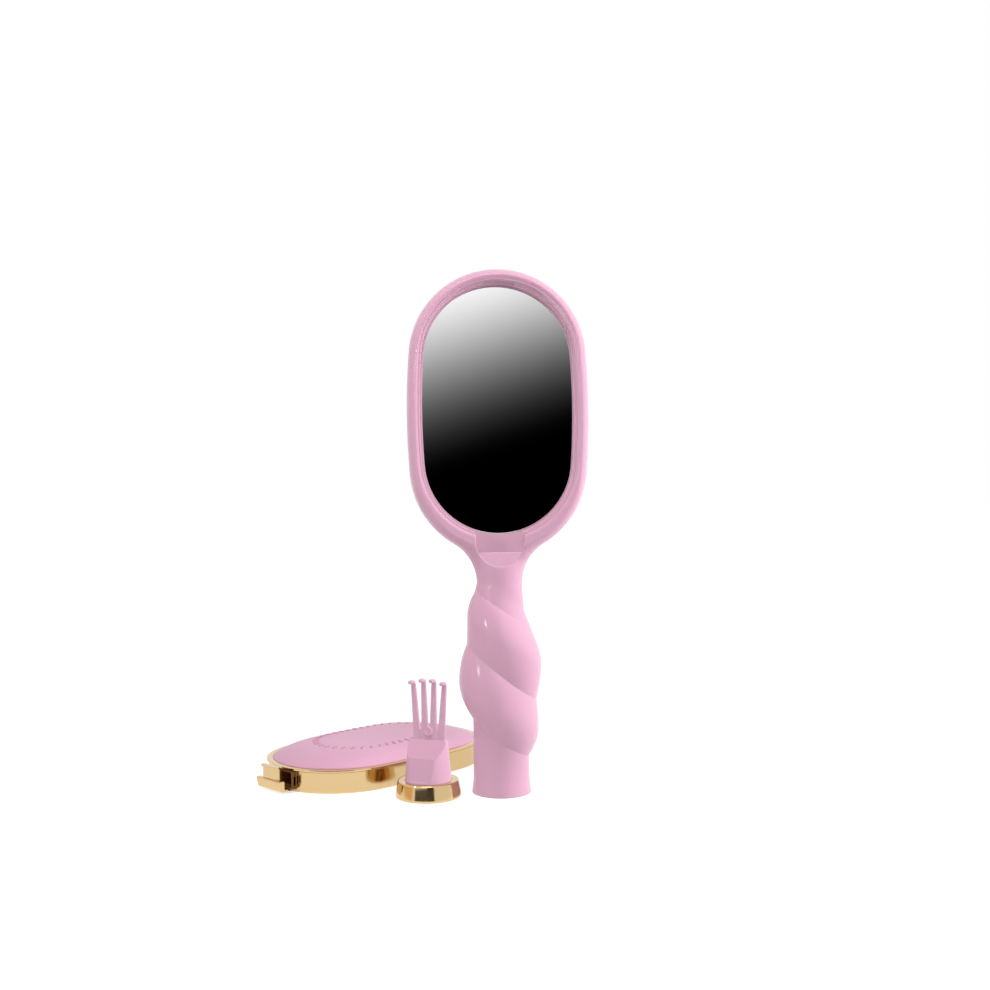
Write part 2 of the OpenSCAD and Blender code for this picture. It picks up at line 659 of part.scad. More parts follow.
// The outer leg swings in about the bend: web, lugs with their barbs, leg and thumb tab
module release_clip() {
  bend = clip_t / 2;
  barb_t = 0.5; // thickness of a barb's edge
  tab_side = 1.2; // how far the tab stands out past the leg at each side
  tab_t = 1; // thickness of the tab
  color(gold) on_cover() translate([0, 0, clip_rise]) union() {
    translate([-hinge_x, 0, bend]) rotate([90, 0, 0]) cylinder(r = bend, h = lug_w, center = true);
    translate([-clip_x + bend, -lug_w / 2, 0]) cube([clip_x - bend - hinge_x, lug_w, clip_t]);
    rotate([90, 0, 0]) translate([0, 0, -lug_w / 2]) linear_extrude(lug_w)
      polygon([[-leg_out_x, 0], [-leg_out_x, lug_h], [-clip_x - barb, lug_h], [-clip_x - barb, lug_h - barb_t],
        [-clip_x, bend], [-clip_x + bend, 0]]);
    translate([-clip_x, -clip_w / 2, lug_h - past]) cube([leg_t, clip_w, clip_h - lug_h + past]);
    translate([-clip_x - tab_out, -clip_w / 2 - tab_side, clip_h - tab_t])
      cube([leg_t + tab_out, clip_w + 2 * tab_side, tab_t]);
  }
}

// The rake stands beside the handle with its hooks to the front
module on_rake() {
  translate([rake_x, rake_y, 0]) rotate([0, 0, rake_turn]) children();
}

module rake_base() {
  color(gold) on_rake() difference() {
    rotate_extrude() polygon([[0, 0], [base_r - base_edge, 0], [base_r, base_edge],
      [base_top_r + base_edge / 3, base_h - base_edge], [base_top_r - base_edge, base_h], [0, base_h]]);
    translate([0, 0, base_floor]) cylinder(r = plug_r + socket_gap, h = base_h);
  }
}

module rake_plug() {
  color(pink) on_rake() difference() {
    rotate_extrude() polygon([[0, base_floor], [plug_r, base_floor], [plug_r, base_h],
      [plug_end_r, plug_top_h - plug_edge], [plug_end_r - 0.75 * plug_edge, plug_top_h], [0, plug_top_h]]);
    translate([-2 * plug_r, 0, 0]) rotate([90, 0, 90]) linear_extrude(4 * plug_r)
      polygon([[-3 * plug_r, base_h + flat_rise], [-plug_flat, base_h + flat_rise],
        [-plug_flat_top, plug_lean_h], [lean_y, plug_top_h], [lean_y, plug_top_h + past],
        [-3 * plug_r, plug_top_h + past]]);
    translate([-root_w / 2, prong_y, root_h]) cube([root_w, prong_t, plug_top_h - root_h + past]);
  }
}

// Two nibs at each side of the plug hold it in the socket by a light squeeze
module rake_nibs() {
  color(pink) on_rake() for (s = [-1, 1]) for (z = [nib_h, nib_h + nib_pitch])
    let (r = plug_r + (plug_end_r - plug_r) * (z - base_h) / (plug_top_h - plug_edge - base_h))
      rotate([0, 0, 90 - s * (90 - nib_turn)]) translate([r - nib_root, 0, z]) rotate([0, 90, 0])
        cylinder(r1 = nib_r, r2 = 0.7 * nib_r, h = nib_root + nib_out);
}

// Four prongs on one stem, cut to the side view of a stem with a hook
module rake_prongs() {
  tip_r = prong_t / 2;
  fork_low = fork_h - root_end - fork_lap;
  color("#f3c3d8") on_rake() difference() {
    union() {
      translate([-root_w / 2, prong_y, root_h]) cube([root_w, prong_t, fork_h - root_h - root_end]);
      for (i = [0:3]) let (x0 = fork_spread * (i / 3 - 0.5), x1 = tip_spread * (i / 3 - 0.5),
        top = tip_h - (i % 3 == 0 ? tip_drop : 0)) intersection() {
        rotate([90, 0, 0]) translate([0, 0, -2 * plug_r]) linear_extrude(4 * plug_r)
          polygon([[x0 - prong_w / 2, fork_low], [x0 + prong_w / 2, fork_low],
            [x1 + prong_tip_w / 2, top], [x1 - prong_tip_w / 2, top]]);
        translate([-2 * plug_r, prong_y, 0]) rotate([90, 0, 90]) linear_extrude(4 * plug_r) union() {
          polygon([[0, root_h], [prong_t, root_h], [prong_t, top - tip_r], [0, top - tip_r]]);
          translate([tip_r, top - tip_r]) circle(tip_r);
          translate([tip_r - hook_l, top - prong_t]) square([hook_l, prong_t]);
          translate([tip_r - hook_l, top - tip_r]) circle(tip_r);
        }
      }
    }
    translate([0, prong_y - past, boss_h]) rotate([-90, 0, 0]) cylinder(r = boss_r, h = prong_t + 2 * past);
  }
}

module rake_boss() {
  color("#eab0ca") on_rake() translate([0, prong_y - boss_out, boss_h]) rotate([-90, 0, 0])
    cylinder(r = boss_r - seat_gap, h = prong_t + boss_out);
}

handle_front();
handle_rear();
socket_sleeve();
mirror_glass();
mirror_pad();
cushion_ring();
cushion_pad();
bristles();
cover_rim();
cover_face();
cover_panel();
cover_ornament();
cover_tongue();
clip_bracket();
clip_anchor();
release_clip();
rake_base();
rake_plug();
rake_nibs();
rake_prongs();
rake_boss();
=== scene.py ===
"""Detangling brush with a hand mirror in its back, a clip-on mirror cover and a rake comb.

The pieces dress the CAD frame of the part. They are drawn in millimetres in that frame: origin in the middle
of the foot, +Z up the handle, -Y the mirror side. finish_piece() turns them to metres.
"""

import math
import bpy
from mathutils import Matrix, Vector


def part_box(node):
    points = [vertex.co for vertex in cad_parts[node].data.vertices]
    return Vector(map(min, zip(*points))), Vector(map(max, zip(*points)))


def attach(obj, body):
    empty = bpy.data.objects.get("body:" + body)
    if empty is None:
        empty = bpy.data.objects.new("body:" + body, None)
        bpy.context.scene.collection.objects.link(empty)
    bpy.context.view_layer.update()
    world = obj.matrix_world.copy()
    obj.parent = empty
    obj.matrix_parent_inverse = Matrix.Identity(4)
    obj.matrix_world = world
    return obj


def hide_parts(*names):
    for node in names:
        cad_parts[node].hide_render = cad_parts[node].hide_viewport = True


bl_info = {
    "name": "Detangling brush",
    "version": (1, 0, 0),
    "blender": (4, 5, 0),
    "location": "3D View > Sidebar > Brush",
    "description": "Builds the pieces, finishes and studio of a detangling brush with mirror, cover and rake",
    "category": "Object",
}

import bmesh
import bpy
from mathutils import Matrix, Vector
from mathutils.bvhtree import BVHTree

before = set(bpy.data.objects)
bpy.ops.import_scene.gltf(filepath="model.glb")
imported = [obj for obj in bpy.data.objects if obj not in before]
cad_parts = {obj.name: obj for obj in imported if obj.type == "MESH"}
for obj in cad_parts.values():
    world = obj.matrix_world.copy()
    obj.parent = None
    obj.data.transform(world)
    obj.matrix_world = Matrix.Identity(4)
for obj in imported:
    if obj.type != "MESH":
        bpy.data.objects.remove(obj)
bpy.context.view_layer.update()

PIECES = "Brush pieces"

# Places and sizes in millimetres that aren't on the panel
HEAD_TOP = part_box("handle_front")[1].z * 1000  # crown of the head, where the CAD has it
POCKET_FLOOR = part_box("mirror_glass")[0].y * 1000  # the glass lies level with the pocket's floor
SAME_POINT = 0.0005  # points closer than this are merged
GLASS_INSET = 1.7  # from the pocket's mouth in to the edge of the glass
SOCKET_RADIUS, SOCKET_DEPTH = 11.2, 18.3  # bore in the foot that holds the sleeve
PRONG_ROOM_RADIUS, PRONG_ROOM_TOP = 9.85, 46.7  # bore above it, for the prongs of the stored rake
CORE_RADIUS, CORE_LOW, CORE_TOP = 7.4, 49.7, 96.3  # closed hollow in the grip
RIM_GAP = 0.3  # between the pocket's mouth and the rim of the cover
RIM_WALL = 1  # from the rim's lip in to its upright wall
NARROW_PLUG = 9.0  # radius of the rake's plug under its rounded top


def length(name, size, what):
    """A length in the panel. size is its default in millimetres."""
    return bpy.props.FloatProperty(
        name=name, description=what, default=size * 0.001, min=0, subtype="DISTANCE", unit="LENGTH", precision=5
    )


def angle(name, degrees, what):
    return bpy.props.FloatProperty(
        name=name, description=what, default=math.radians(degrees), subtype="ANGLE", unit="ROTATION"
    )


def linear(code):
    """The linear colour of an sRGB hex code."""
    parts = [int(code[i : i + 2], 16) / 255 for i in (1, 3, 5)]
    return [c / 12.92 if c <= 0.04045 else ((c + 0.055) / 1.055) ** 2.4 for c in parts]


def colour(name, code, what):
    return bpy.props.FloatVectorProperty(
        name=name, description=what, default=linear(code), min=0, max=1, size=3, subtype="COLOR"
    )


class HandleSizes(bpy.types.PropertyGroup):
    foot_radius: length("Foot radius", 13.4, "Radius of the foot on the table")
    ankle_radius: length("Ankle radius", 12.5, "Radius of the grip's core above the foot")
    foot_height: length("Foot height", 9, "Height over which the foot flares")
    neck_radius: length("Neck radius", 10.4, "Radius of the neck")
    neck_height: length("Neck height", 94.3, "Where the neck starts to flare into the head")
    strand_reach: length("Strand reach", 18.9, "Greatest reach of a twisted strand from the axis")
    twist_middle: length("Twist middle", 54.3, "Height of the middle of the twist")
    twist_lead: length("Twist lead", 48.8, "Height of one full turn of a strand")
    twist_phase: angle("Twist phase", -4, "Turn of the whole twist about the axis")
    head_width: length("Head width", 82, "Width of the head")
    head_length: length("Head length", 129, "Length of the head")
    end_radius: length("End radius", 40, "Radius of the round ends of the head")
    flare_radius: length("Flare radius", 20, "Radius of the hollow between neck and head")
    thickness: length("Thickness", 20, "Thickness of the head")
    edge_width: length("Edge width", 4.3, "Width over which the edge of the head is rounded")
    parting: length("Parting line", 0.1, "Depth of the fine line where the two halves meet")


class PocketSizes(bpy.types.PropertyGroup):
    mouth_width: length("Mouth width", 72.4, "Width of the mirror pocket's mouth")
    mouth_length: length("Mouth length", 116, "Length of the mirror pocket's mouth")
    rise: length("Rise", 1.7, "How far the pocket lies above the middle of the head")
    step: length("Step", 1, "Depth and width of the step under the mouth")
    lip_width: length("Lip width", 1.7, "Width over which the mouth's edge is rounded")
    notch_width: length("Notch width", 21.7, "Width of the thumb notch")
    notch_height: length("Notch height", 112.6, "Height of the middle of the notch's round end")
    ramp_height: length("Ramp edge height", 108, "Height of the edge between deep part and ramp")
    ramp_depth: length("Ramp depth", 3.5, "Depth of the ramp at that edge")
    glass_thickness: length("Glass thickness", 1.5, "Thickness of the mirror glass")


class CushionSizes(bpy.types.PropertyGroup):
    seat_width: length("Seat width", 70, "Width of the recess for the cushion's ring")
    seat_length: length("Seat length", 116, "Length of the recess for the cushion's ring")
    ring_face: length("Ring face", 3.2, "Width of the ring that holds the cushion")
    crown: length("Crown", 2.4, "How far the middle of the cushion stands above its edge")
    bristle_length: length("Bristle length", 14, "Length of a bristle above the cushion's edge")
    bristle_width: length("Bristle width", 1.1, "Thickness of a bristle at its foot")
    bristle_pitch: length("Bristle pitch", 4.3, "Distance between neighbouring bristles")


class CoverSizes(bpy.types.PropertyGroup):
    across: length("Across", 57.9, "Distance of the cover's middle to the left of the handle")
    behind: length("Behind", 52.3, "Distance of the cover's middle behind the handle")
    turn: angle("Turn", 43, "Turn of the cover about the vertical")
    rim_height: length("Rim height", 10.7, "Height of the plated rim")
    lip: length("Lip", 0.9, "Thickness of the rim's lip")
    band: length("Band", 3.1, "Width of the plated band round the face plate")
    face_edge: length("Face edge", 2, "Thickness of the face plate at its edge")
    face_crown: length("Face crown", 5.2, "How far the middle of the face plate stands above its edge")
    face_swell: bpy.props.FloatProperty(
        name="Face swell", description="How full the swell of the face plate is", default=5, min=1
    )
    dash_length: length("Dash length", 3.4, "Length of a raised dash of the ornament")
    clip_rise: length("Clip rise", 1.2, "How far the clip stands above the bottom of the rim")


class RakeSizes(bpy.types.PropertyGroup):
    across: length("Across", 33, "Distance of the rake's middle to the left of the handle")
    before: length("Before", 3.8, "Distance of the rake's middle in front of the handle")
    turn: angle("Turn", -25, "Turn of the rake about the vertical")
    base_radius: length("Base radius", 14.85, "Radius of the plated base on the table")
    base_top: length("Base top radius", 13.5, "Radius of the plated base at its top")
    base_height: length("Base height", 7.3, "Height of the plated base")
    plug_radius: length("Plug radius", 10.3, "Radius of the plug at the base")
    plug_height: length("Plug height", 24.6, "Height of the plug's top above the table")
    tip_height: length("Tip height", 52, "Height of the tips of the inner prongs")
    prong_width: length("Prong width", 3.4, "Width of a prong at its root")
    prong_tip: length("Prong tip width", 2.2, "Width of a prong at its tip")
    prong_thickness: length("Prong thickness", 1.7, "Thickness of a prong")
    hook: length("Hook", 4.2, "Reach of a prong's hook")


class Finishes(bpy.types.PropertyGroup):
    pink: colour("Pink", "#E9B4CD", "Moulded plastic of handle, cover and rake")
    # Painted shade: the dashes are a deeper pink than the face plate, standing in for their shading
    dashes: colour("Dashes", "#D79DBA", "Raised dashes of the cover's ornament")
    sleeve: colour("Sleeve", "#D99BB8", "Plastic sleeve of the socket")
    plating: colour("Plating", "#D6B98A", "Polished light gold plating")
    # Painted shade: this dark brown stands in for the shade inside the clip, between its legs
    recess: colour("Recess", "#6E522F", "Plating in the recess of the clip, where it is thin")
    silver: colour("Silver", "#DEDEDE", "Silvering behind the mirror glass")
    rubber: colour("Rubber", "#E3A3C0", "Soft rubber of the cushion")
    nylon: colour("Nylon", "#F7DDE8", "Nylon of the bristles")
    foam: colour("Foam", "#EFEDE8", "Foam tape behind the mirror")
    floor: colour("Floor", "#D8D8D8", "Studio floor")


GROUPS = (
    ("brush_handle", HandleSizes),
    ("brush_pocket", PocketSizes),
    ("brush_cushion", CushionSizes),
    ("brush_cover", CoverSizes),
    ("brush_rake", RakeSizes),
    ("brush_finish", Finishes),
)


def mm(value):
    """A length of the panel in millimetres."""
    return value * 1000


def smooth(t):
    """0 up to t = 0, 1 from t = 1, and a soft rise between."""
    u = min(1.0, max(0.0, t))
    return u * u * (3 - 2 * u)


# Ovals: (half width, half length, end radius), two large side arcs and two round ends


def inset(oval, by):
    return (oval[0] - by, oval[1] - by, oval[2] - by)


def side_arc(oval):
    """Radius of the side arcs and the angle at which they meet the round ends."""
    c = oval[1] - oval[2]
    r = (oval[0] ** 2 + c * c - oval[2] ** 2) / (2 * (oval[0] - oval[2]))
    return r, math.atan2(c, r - oval[0])


def oval_x(oval, z):
    """Half the width of an oval at z from its middle."""
    r, t = side_arc(oval)
    a = abs(z)
    if a >= oval[1]:
        return 0.0
    if a <= r * math.sin(t):
        return math.sqrt(r * r - a * a) - (r - oval[0])
    return math.sqrt(max(0.0, oval[2] ** 2 - (a - (oval[1] - oval[2])) ** 2))


def oval_loop(oval, along_side=10, round_end=40):
    """Points round an oval, X across and Y along. An inset oval has its points in the same order."""
    r, t = side_arc(oval)
    c = oval[1] - oval[2]
    half = []
    for i in range(along_side):
        w = t * (2 * i / along_side - 1)
        half.append((r * math.cos(w) - (r - oval[0]), r * math.sin(w)))
    for i in range(round_end):
        w = t + (math.pi - 2 * t) * i / round_end
        half.append((oval[2] * math.cos(w), c + oval[2] * math.sin(w)))
    return half + [(-x, -y) for x, y in half]


def arc(cx, cy, r, a0, a1, n):
    """Points on an arc from angle a0 to a1, in degrees."""
    turns = [math.radians(a0 + (a1 - a0) * i / n) for i in range(n + 1)]
    return [(cx + r * math.cos(q), cy + r * math.sin(q)) for q in turns]


def mouth_oval(sizes):
    """Mouth of the mirror pocket."""
    w = mm(sizes.mouth_width) / 2
    return (w, mm(sizes.mouth_length) / 2, w - 0.8)


def seat_oval(sizes):
    """Recess for the ring of the cushion."""
    w = mm(sizes.seat_width) / 2
    return (w, mm(sizes.seat_length) / 2, w - 1)


def rim_oval(scene):
    """Outside of the cover's rim, which drops into the mouth."""
    return inset(mouth_oval(scene.brush_pocket), RIM_GAP)


# Mesh work in millimetres


def wrap(bm, across, along, put):
    """Lays a grid of cells over a surface. put(i, j) is the place of each corner."""
    made = bmesh.ops.create_grid(bm, x_segments=across, y_segments=along, size=1.0)
    for v in made["verts"]:
        v.co = put(round((v.co.x + 1) / 2 * across), round((v.co.y + 1) / 2 * along))


def merge(bm):
    bmesh.ops.remove_doubles(bm, verts=bm.verts, dist=SAME_POINT)
    bmesh.ops.dissolve_degenerate(bm, dist=SAME_POINT, edges=bm.edges)


def point_outwards(bm):
    bmesh.ops.recalc_face_normals(bm, faces=bm.faces)


def close_up(bm):
    """Joins the seams and poles of a closed skin and points its faces outwards."""
    merge(bm)
    point_outwards(bm)


def cap(bm):
    """Fills the open ends."""
    bmesh.ops.holes_fill(bm, edges=[e for e in bm.edges if e.is_boundary], sides=0)


def sweep_oval(bm, oval, profile, put, closed=True):
    """Sweeps a profile of (inset, height) round an oval. An open profile ends on poles, whose inset is None."""
    loops = [oval_loop(inset(oval, p[0])) if p[0] is not None else None for p in profile]
    n, m = len(oval_loop(oval)), len(profile)

    def place(i, j):
        loop, height = loops[j % m], profile[j % m][1]
        x, y = loop[i % n] if loop else (0.0, 0.0)
        return put(x, y, height)

    wrap(bm, n, m if closed else m - 1, place)


def dish(bm, oval, rows, put):
    """Closes rows of (share of the way to the middle, height) round an oval into a solid dish."""
    loop = oval_loop(oval)
    n = len(loop)

    def place(i, j):
        share, height = rows[j]
        x, y = loop[i % n]
        return put(x * (1 - share), y * (1 - share), height)

    wrap(bm, n, len(rows) - 1, place)


def lathe(bm, profile, steps=96):
    """Spins a profile of (radius, height) round the vertical."""
    verts = [bm.verts.new((r, 0, z)) for r, z in profile]
    edges = [bm.edges.new(pair) for pair in zip(verts, verts[1:])]
    bmesh.ops.spin(
        bm, geom=verts + edges, cent=(0, 0, 0), axis=(0, 0, 1), dvec=(0, 0, 0),
        angle=math.tau, steps=steps, use_merge=True, use_duplicate=False,
    )
    close_up(bm)


def extruded(bm, outline, direction):
    """Extrudes a flat outline of 3-D points into a closed prism."""
    face = bm.faces.new([bm.verts.new(p) for p in outline])
    made = bmesh.ops.extrude_face_region(bm, geom=[face], use_keep_orig=True)
    moved = [g for g in made["geom"] if isinstance(g, bmesh.types.BMVert)]
    bmesh.ops.translate(bm, verts=moved, vec=direction)
    point_outwards(bm)


def bevel(bm, edges, width, segments):
    return bmesh.ops.bevel(
        bm, geom=edges, offset=width, offset_type="OFFSET", affect="EDGES", segments=segments,
        profile=0.5, material=-1, clamp_overlap=True,
    )


def soften(bm, width, segments=2, above=30, only=None):
    """Bevels the edges that turn by more than an angle in degrees."""
    turned = [e for e in bm.edges if len(e.link_faces) == 2 and e.calc_face_angle() > math.radians(above)]
    bevel(bm, [e for e in turned if only is None or only(e)], width, segments)


def block(bm, low, high):
    """A block between two corners."""
    made = bmesh.ops.create_cube(bm, size=1.0)
    for v in made["verts"]:
        v.co = [low[k] if v.co[k] < 0 else high[k] for k in range(3)]


def move(bm, matrix):
    bmesh.ops.transform(bm, matrix=matrix, verts=bm.verts)


def repeated(small, places):
    """One mesh made of copies of a small one. Each place is a function that moves a point."""
    one = bpy.data.meshes.new("repeated")
    small.to_mesh(one)
    small.free()
    bm = bmesh.new()
    for put in places:
        old = len(bm.verts)
        bm.from_mesh(one)
        bm.verts.ensure_lookup_table()
        for v in bm.verts[old:]:
            v.co = put(v.co)
    bpy.data.meshes.remove(one)
    point_outwards(bm)
    return bm


def add_object(name, bm):
    mesh = bpy.data.meshes.new(name)
    bm.to_mesh(mesh)
    bm.free()
    piece = bpy.data.objects.new(name, mesh)
    collection = bpy.data.collections.get(PIECES)
    if collection is None:
        collection = bpy.data.collections.new(PIECES)
        bpy.context.scene.collection.children.link(collection)
    collection.objects.link(piece)
    return piece


def tool(name, build):
    """A shape for carve()."""
    bm = bmesh.new()
    build(bm)
    close_up(bm)
    return add_object(name, bm)


def carve(piece, tools, operation="DIFFERENCE", keep=False):
    """Cuts the tools out of a piece, or joins it with them, and removes them unless they are kept."""
    for cutter in tools:
        cut = piece.modifiers.new(cutter.name, "BOOLEAN")
        cut.operation, cut.solver, cut.object = operation, "EXACT", cutter
    graph = bpy.context.evaluated_depsgraph_get()
    mesh = bpy.data.meshes.new_from_object(piece.evaluated_get(graph))
    if len(mesh.polygons) < 8:
        raise RuntimeError(f"nothing is left of {piece.name} after it was carved")
    piece.modifiers.clear()
    old, piece.data = piece.data, mesh
    bpy.data.meshes.remove(old)
    if keep:
        return
    for cutter in tools:
        mesh = cutter.data
        bpy.data.objects.remove(cutter)
        bpy.data.meshes.remove(mesh)


def finish_piece(piece, body, finish, slot, *nodes, crease=40):
    """Turns a piece to metres, shades it, gives it its finish and lets it ride on its body."""
    piece.data.transform(Matrix.Scale(0.001, 4))
    piece.data.materials.clear()
    piece.data.materials.append(finish)
    piece.data.polygons.foreach_set("use_smooth", [True] * len(piece.data.polygons))
    piece.data.set_sharp_from_angle(angle=math.radians(crease))
    even = piece.modifiers.new("even_shading", "WEIGHTED_NORMAL")
    even.keep_sharp = True
    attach(piece, body)
    if nodes:
        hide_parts(*nodes)


# Places


def in_head(middle):
    """Puts a point of an upright oval into the head: X across it, Z from its middle, Y its depth."""
    return lambda x, z, y: Vector((x, y, middle + z))


def on_cover(sizes):
    """Turns a point of the cover, X from clip to tongue, to its place."""
    return Matrix.Translation((-mm(sizes.across), mm(sizes.behind), 0)) @ Matrix.Rotation(sizes.turn, 4, "Z")


def on_rake(sizes):
    return Matrix.Translation((-mm(sizes.across), -mm(sizes.before), 0)) @ Matrix.Rotation(sizes.turn, 4, "Z")


# The twist: two strands that meet in creases. Going round from the left side by the front, each list follows
# the same lines: creases are the even ones and crests lie between them. Heights are quarter turns.
LINE_HEIGHT = (
    (-3, -2.35, -1.7, -0.35, 1, 2, 3, 4, 5, 6, 7),
    (-4, -3.3, -2.5, -1.2, 0, 1.2, 2.4, 3.4, 4.4, 5.4, 6.4),
    (-5, -4.2, -3.1, -2, -1, 0.35, 1.7, 2.35, 3, 4, 5),
    (-6, -5, -4, -3, -2, -1, 0, 1, 2, 3, 4),
    (-7, -6, -5, -4, -3, -2.35, -1.7, -0.35, 1, 2, 3),
)
# How far each line stands out, as a share of the strands' reach
LINE_OUT = (
    (0, 0, 0.05, 0.97, 0.53, 0.52, 0.05, 0, 0, 0, 0),
    (0, 0, 0.15, 0.92, 0.5, 0.85, 0.2, 0, 0, 0, 0),
    (0, 0, 0, 0.71, 0.61, 0.95, 0.35, 0.06, 0, 0, 0),
    (0, 0, 0, 0, 0.25, 0.8, 0.9, 0.8, 0.25, 0, 0),
    (0, 0, 0, 0, 0, 0, 0.05, 0.97, 0.53, 0.52, 0.05),
)
# How sharp each crease is
LINE_SHARP = (
    (0, 0, 1, 0, 1, 0, 1, 0, 0, 0, 0),
    (0, 0, 1, 0, 1, 0, 0.9, 0, 0, 0, 0),
    (0, 0, 1, 0, 1, 0, 0, 0, 0, 0, 0),
    (0, 0, 0, 0, 1, 0, 0, 0, 1, 0, 0),
    (0, 0, 0, 0, 0, 0, 1, 0, 1, 0, 1),
)
TWIST_ENDS = 4  # quarter turns from the middle of the twist to where it has run out


def lines_at(table, turn):
    """The lines of a table at a turn of 180 to 540 degrees. From the front or back they look straight."""
    q = (turn - 180) / 90
    i = min(3, int(q))
    if i > 1 and table is not LINE_HEIGHT:
        share = smooth(q - i)  # behind, one strand swells gently into the other
    else:
        a = math.radians(90 * (q - i))
        share = math.sin(a) if i % 2 else 1 - math.cos(a)
    return [one * (1 - share) + other * share for one, other in zip(table[i], table[i + 1])]


def line_slope(h, out, sharp, k, side):
    """Slope of the skin at line k: level on a crest, steep towards the crest at a sharp crease."""
    if k % 2:
        return 0.0
    steep = 2 * (out[k + side] - out[k]) / (h[k + side] - h[k])
    i, n = max(0, k - 1), min(len(h) - 1, k + 1)
    return sharp[k] * steep + (1 - sharp[k]) * (out[n] - out[i]) / (h[n] - h[i])


def twist_out(h, out, sharp, t):
    """How far the twist stands out at t quarter turns above its middle, 0 to 1."""
    if t <= h[0]:
        return 0.0
    if t >= h[-1]:
        return out[-1] * (1 - smooth(t - h[-1]))
    k = max(i for i in range(len(h) - 1) if h[i] <= t)
    d = h[k + 1] - h[k]
    f = (t - h[k]) / d
    g = 1 - f
    m = line_slope(h, out, sharp, k, 1) * d
    n = line_slope(h, out, sharp, k + 1, -1) * d
    return out[k] * g * g * (1 + 2 * f) + out[k + 1] * f * f * (3 - 2 * f) + m * f * g * g - n * f * f * g


class Skin:
    """The outer surface of the handle: columns run round it, rows run up it and follow the strands."""

    across = 34  # cells in each quarter turn
    beside_flat = 0.7  # degrees from a half's flat side to its next column
    up_foot, up_strand, up_flare, up_end, up_side, up_crown = 9, 12, 16, 16, 8, 34  # cells up each stretch
    foot_edge = ((0, 0.45), (0.08, 0.2), (0.25, 0.06), (0.5, 0))  # height of a row and how far in it lies
    least = 1.2  # least height between two lines of the twist

    def __init__(self, sizes):
        self.foot, self.ankle = mm(sizes.foot_radius), mm(sizes.ankle_radius)
        self.foot_h, self.neck_h = mm(sizes.foot_height), mm(sizes.neck_height)
        self.neck = mm(sizes.neck_radius)
        self.reach, self.middle = mm(sizes.strand_reach), mm(sizes.twist_middle)
        self.quarter, self.phase = mm(sizes.twist_lead) / 4, math.degrees(sizes.twist_phase)
        self.head = (mm(sizes.head_width) / 2, mm(sizes.head_length) / 2, mm(sizes.end_radius))
        self.flare, self.half_t = mm(sizes.flare_radius), mm(sizes.thickness) / 2
        self.edge, self.parting = mm(sizes.edge_width), mm(sizes.parting)
        r, flare = self.head[2], self.flare
        self.head_c = self.head[1] - r
        self.end_h = self.neck_h + math.sqrt((r + flare) ** 2 - (self.neck + flare) ** 2)
        self.head_h = self.end_h + self.head_c
        self.flare_end = math.asin((self.end_h - self.neck_h) / (r + flare))
        if abs(self.head_h + self.head[1] - HEAD_TOP) > 0.5:
            raise RuntimeError("the head's crown isn't where the CAD model has it")

    def core(self, z):
        """Radius of the grip without its strands."""
        if z < self.foot_h:
            return self.ankle + (self.foot - self.ankle) * (1 - z / self.foot_h) ** 2
        share = (z - 2 * self.foot_h) / (self.neck_h - 3 * self.foot_h)
        return self.ankle + (self.neck - self.ankle) * smooth(share)

    def turn(self, a):
        """An angle within the 180 to 540 degrees that the tables of the twist cover."""
        return (a - self.phase - 180 + 720) % 360 + 180

    def grip(self, a, z):
        """Radius of the twisted grip."""
        t, r, b = (z - self.middle) / self.quarter, self.core(z), self.turn(a)
        if abs(t) >= TWIST_ENDS:
            return r
        reach = (self.reach - r) * smooth((self.neck_h - z) / 2.5)  # ends level with the neck
        return r + reach * twist_out(*(lines_at(table, b) for table in (LINE_HEIGHT, LINE_OUT, LINE_SHARP)), t)

    def line(self, k, b):
        """Height of line k at turn b, which may run on past 540 degrees."""
        if b > 540:
            b, k = b - 360, k - 4
        return self.middle + self.quarter * (lines_at(LINE_HEIGHT, b)[k] if k >= 0 else -TWIST_ENDS)

    def columns(self, a0):
        """Angle and side of each column. The middle angle comes twice, for both ends of the head's flat."""
        near = [0, self.beside_flat] + [90 * i / self.across for i in range(1, self.across + 1)]
        sides = (-1, 1) if a0 == 180 else (1, -1)
        return [(a0 + a, sides[0]) for a in near] + [(a0 + 180 - a, sides[1]) for a in reversed(near)]

    def rows(self, a0, lines):
        """Each row as a function of a column's angle and side, and of how far in it lies."""
        rows = []

        def grip_row(height, pull=0.0):
            def put(a, side, pulled):
                z = height(a)
                r = self.grip(a, z) - pull - pulled
                return Vector((r * math.cos(math.radians(a)), r * math.sin(math.radians(a)), z))

            rows.append(put)

        def head_row(outer, inner, t):
            """A row from the outline of the head round its edge to the flat face."""

            def put(a, side, pulled):
                w, f = Vector(outer), Vector(inner)
                c, s = abs(math.cos(math.radians(a))), math.sin(math.radians(a))
                c = max(0.0, c - pulled / max(0.1, (w - f).length))
                p = f + (w - f) * (0.0 if c < 1e-6 else c)
                return Vector((side * p.x, t * s, p.y))

            rows.append(put)

        def round_row(q, r, x, z):
            """A head row at angle q of an arc of radius r round (x, z)."""
            d = r - self.edge
            outer, inner = ((x + c * math.cos(q), z + c * math.sin(q)) for c in (r, d))
            head_row(outer, inner, self.half_t)

        for z, pull in self.foot_edge:
            grip_row(lambda a, z=z: z, pull)
        rounded = self.foot_edge[-1][0]
        for i in range(1, self.up_foot):
            grip_row(lambda a, z=rounded + (self.foot_h - rounded) * i / self.up_foot: z)

        def stops(a):
            """Heights at an angle between which the rows are shared out: foot, lines and neck."""
            b = self.turn(a)
            if a0 == 0 and b < 360:  # the rear half runs on past 540 degrees
                b += 360
            marks = [self.foot_h]
            for k in lines:
                highest = self.neck_h - self.least * (lines[-1] - k + 1)
                marks.append(min(max(self.line(k, b), marks[-1] + self.least), highest))
            return marks + [self.neck_h]

        for g in range(len(lines) + 1):
            for i in range(self.up_strand):
                share = (1 - math.cos(math.pi * i / self.up_strand)) / 2
                grip_row(lambda a, g=g, share=share: stops(a)[g] * (1 - share) + stops(a)[g + 1] * share)

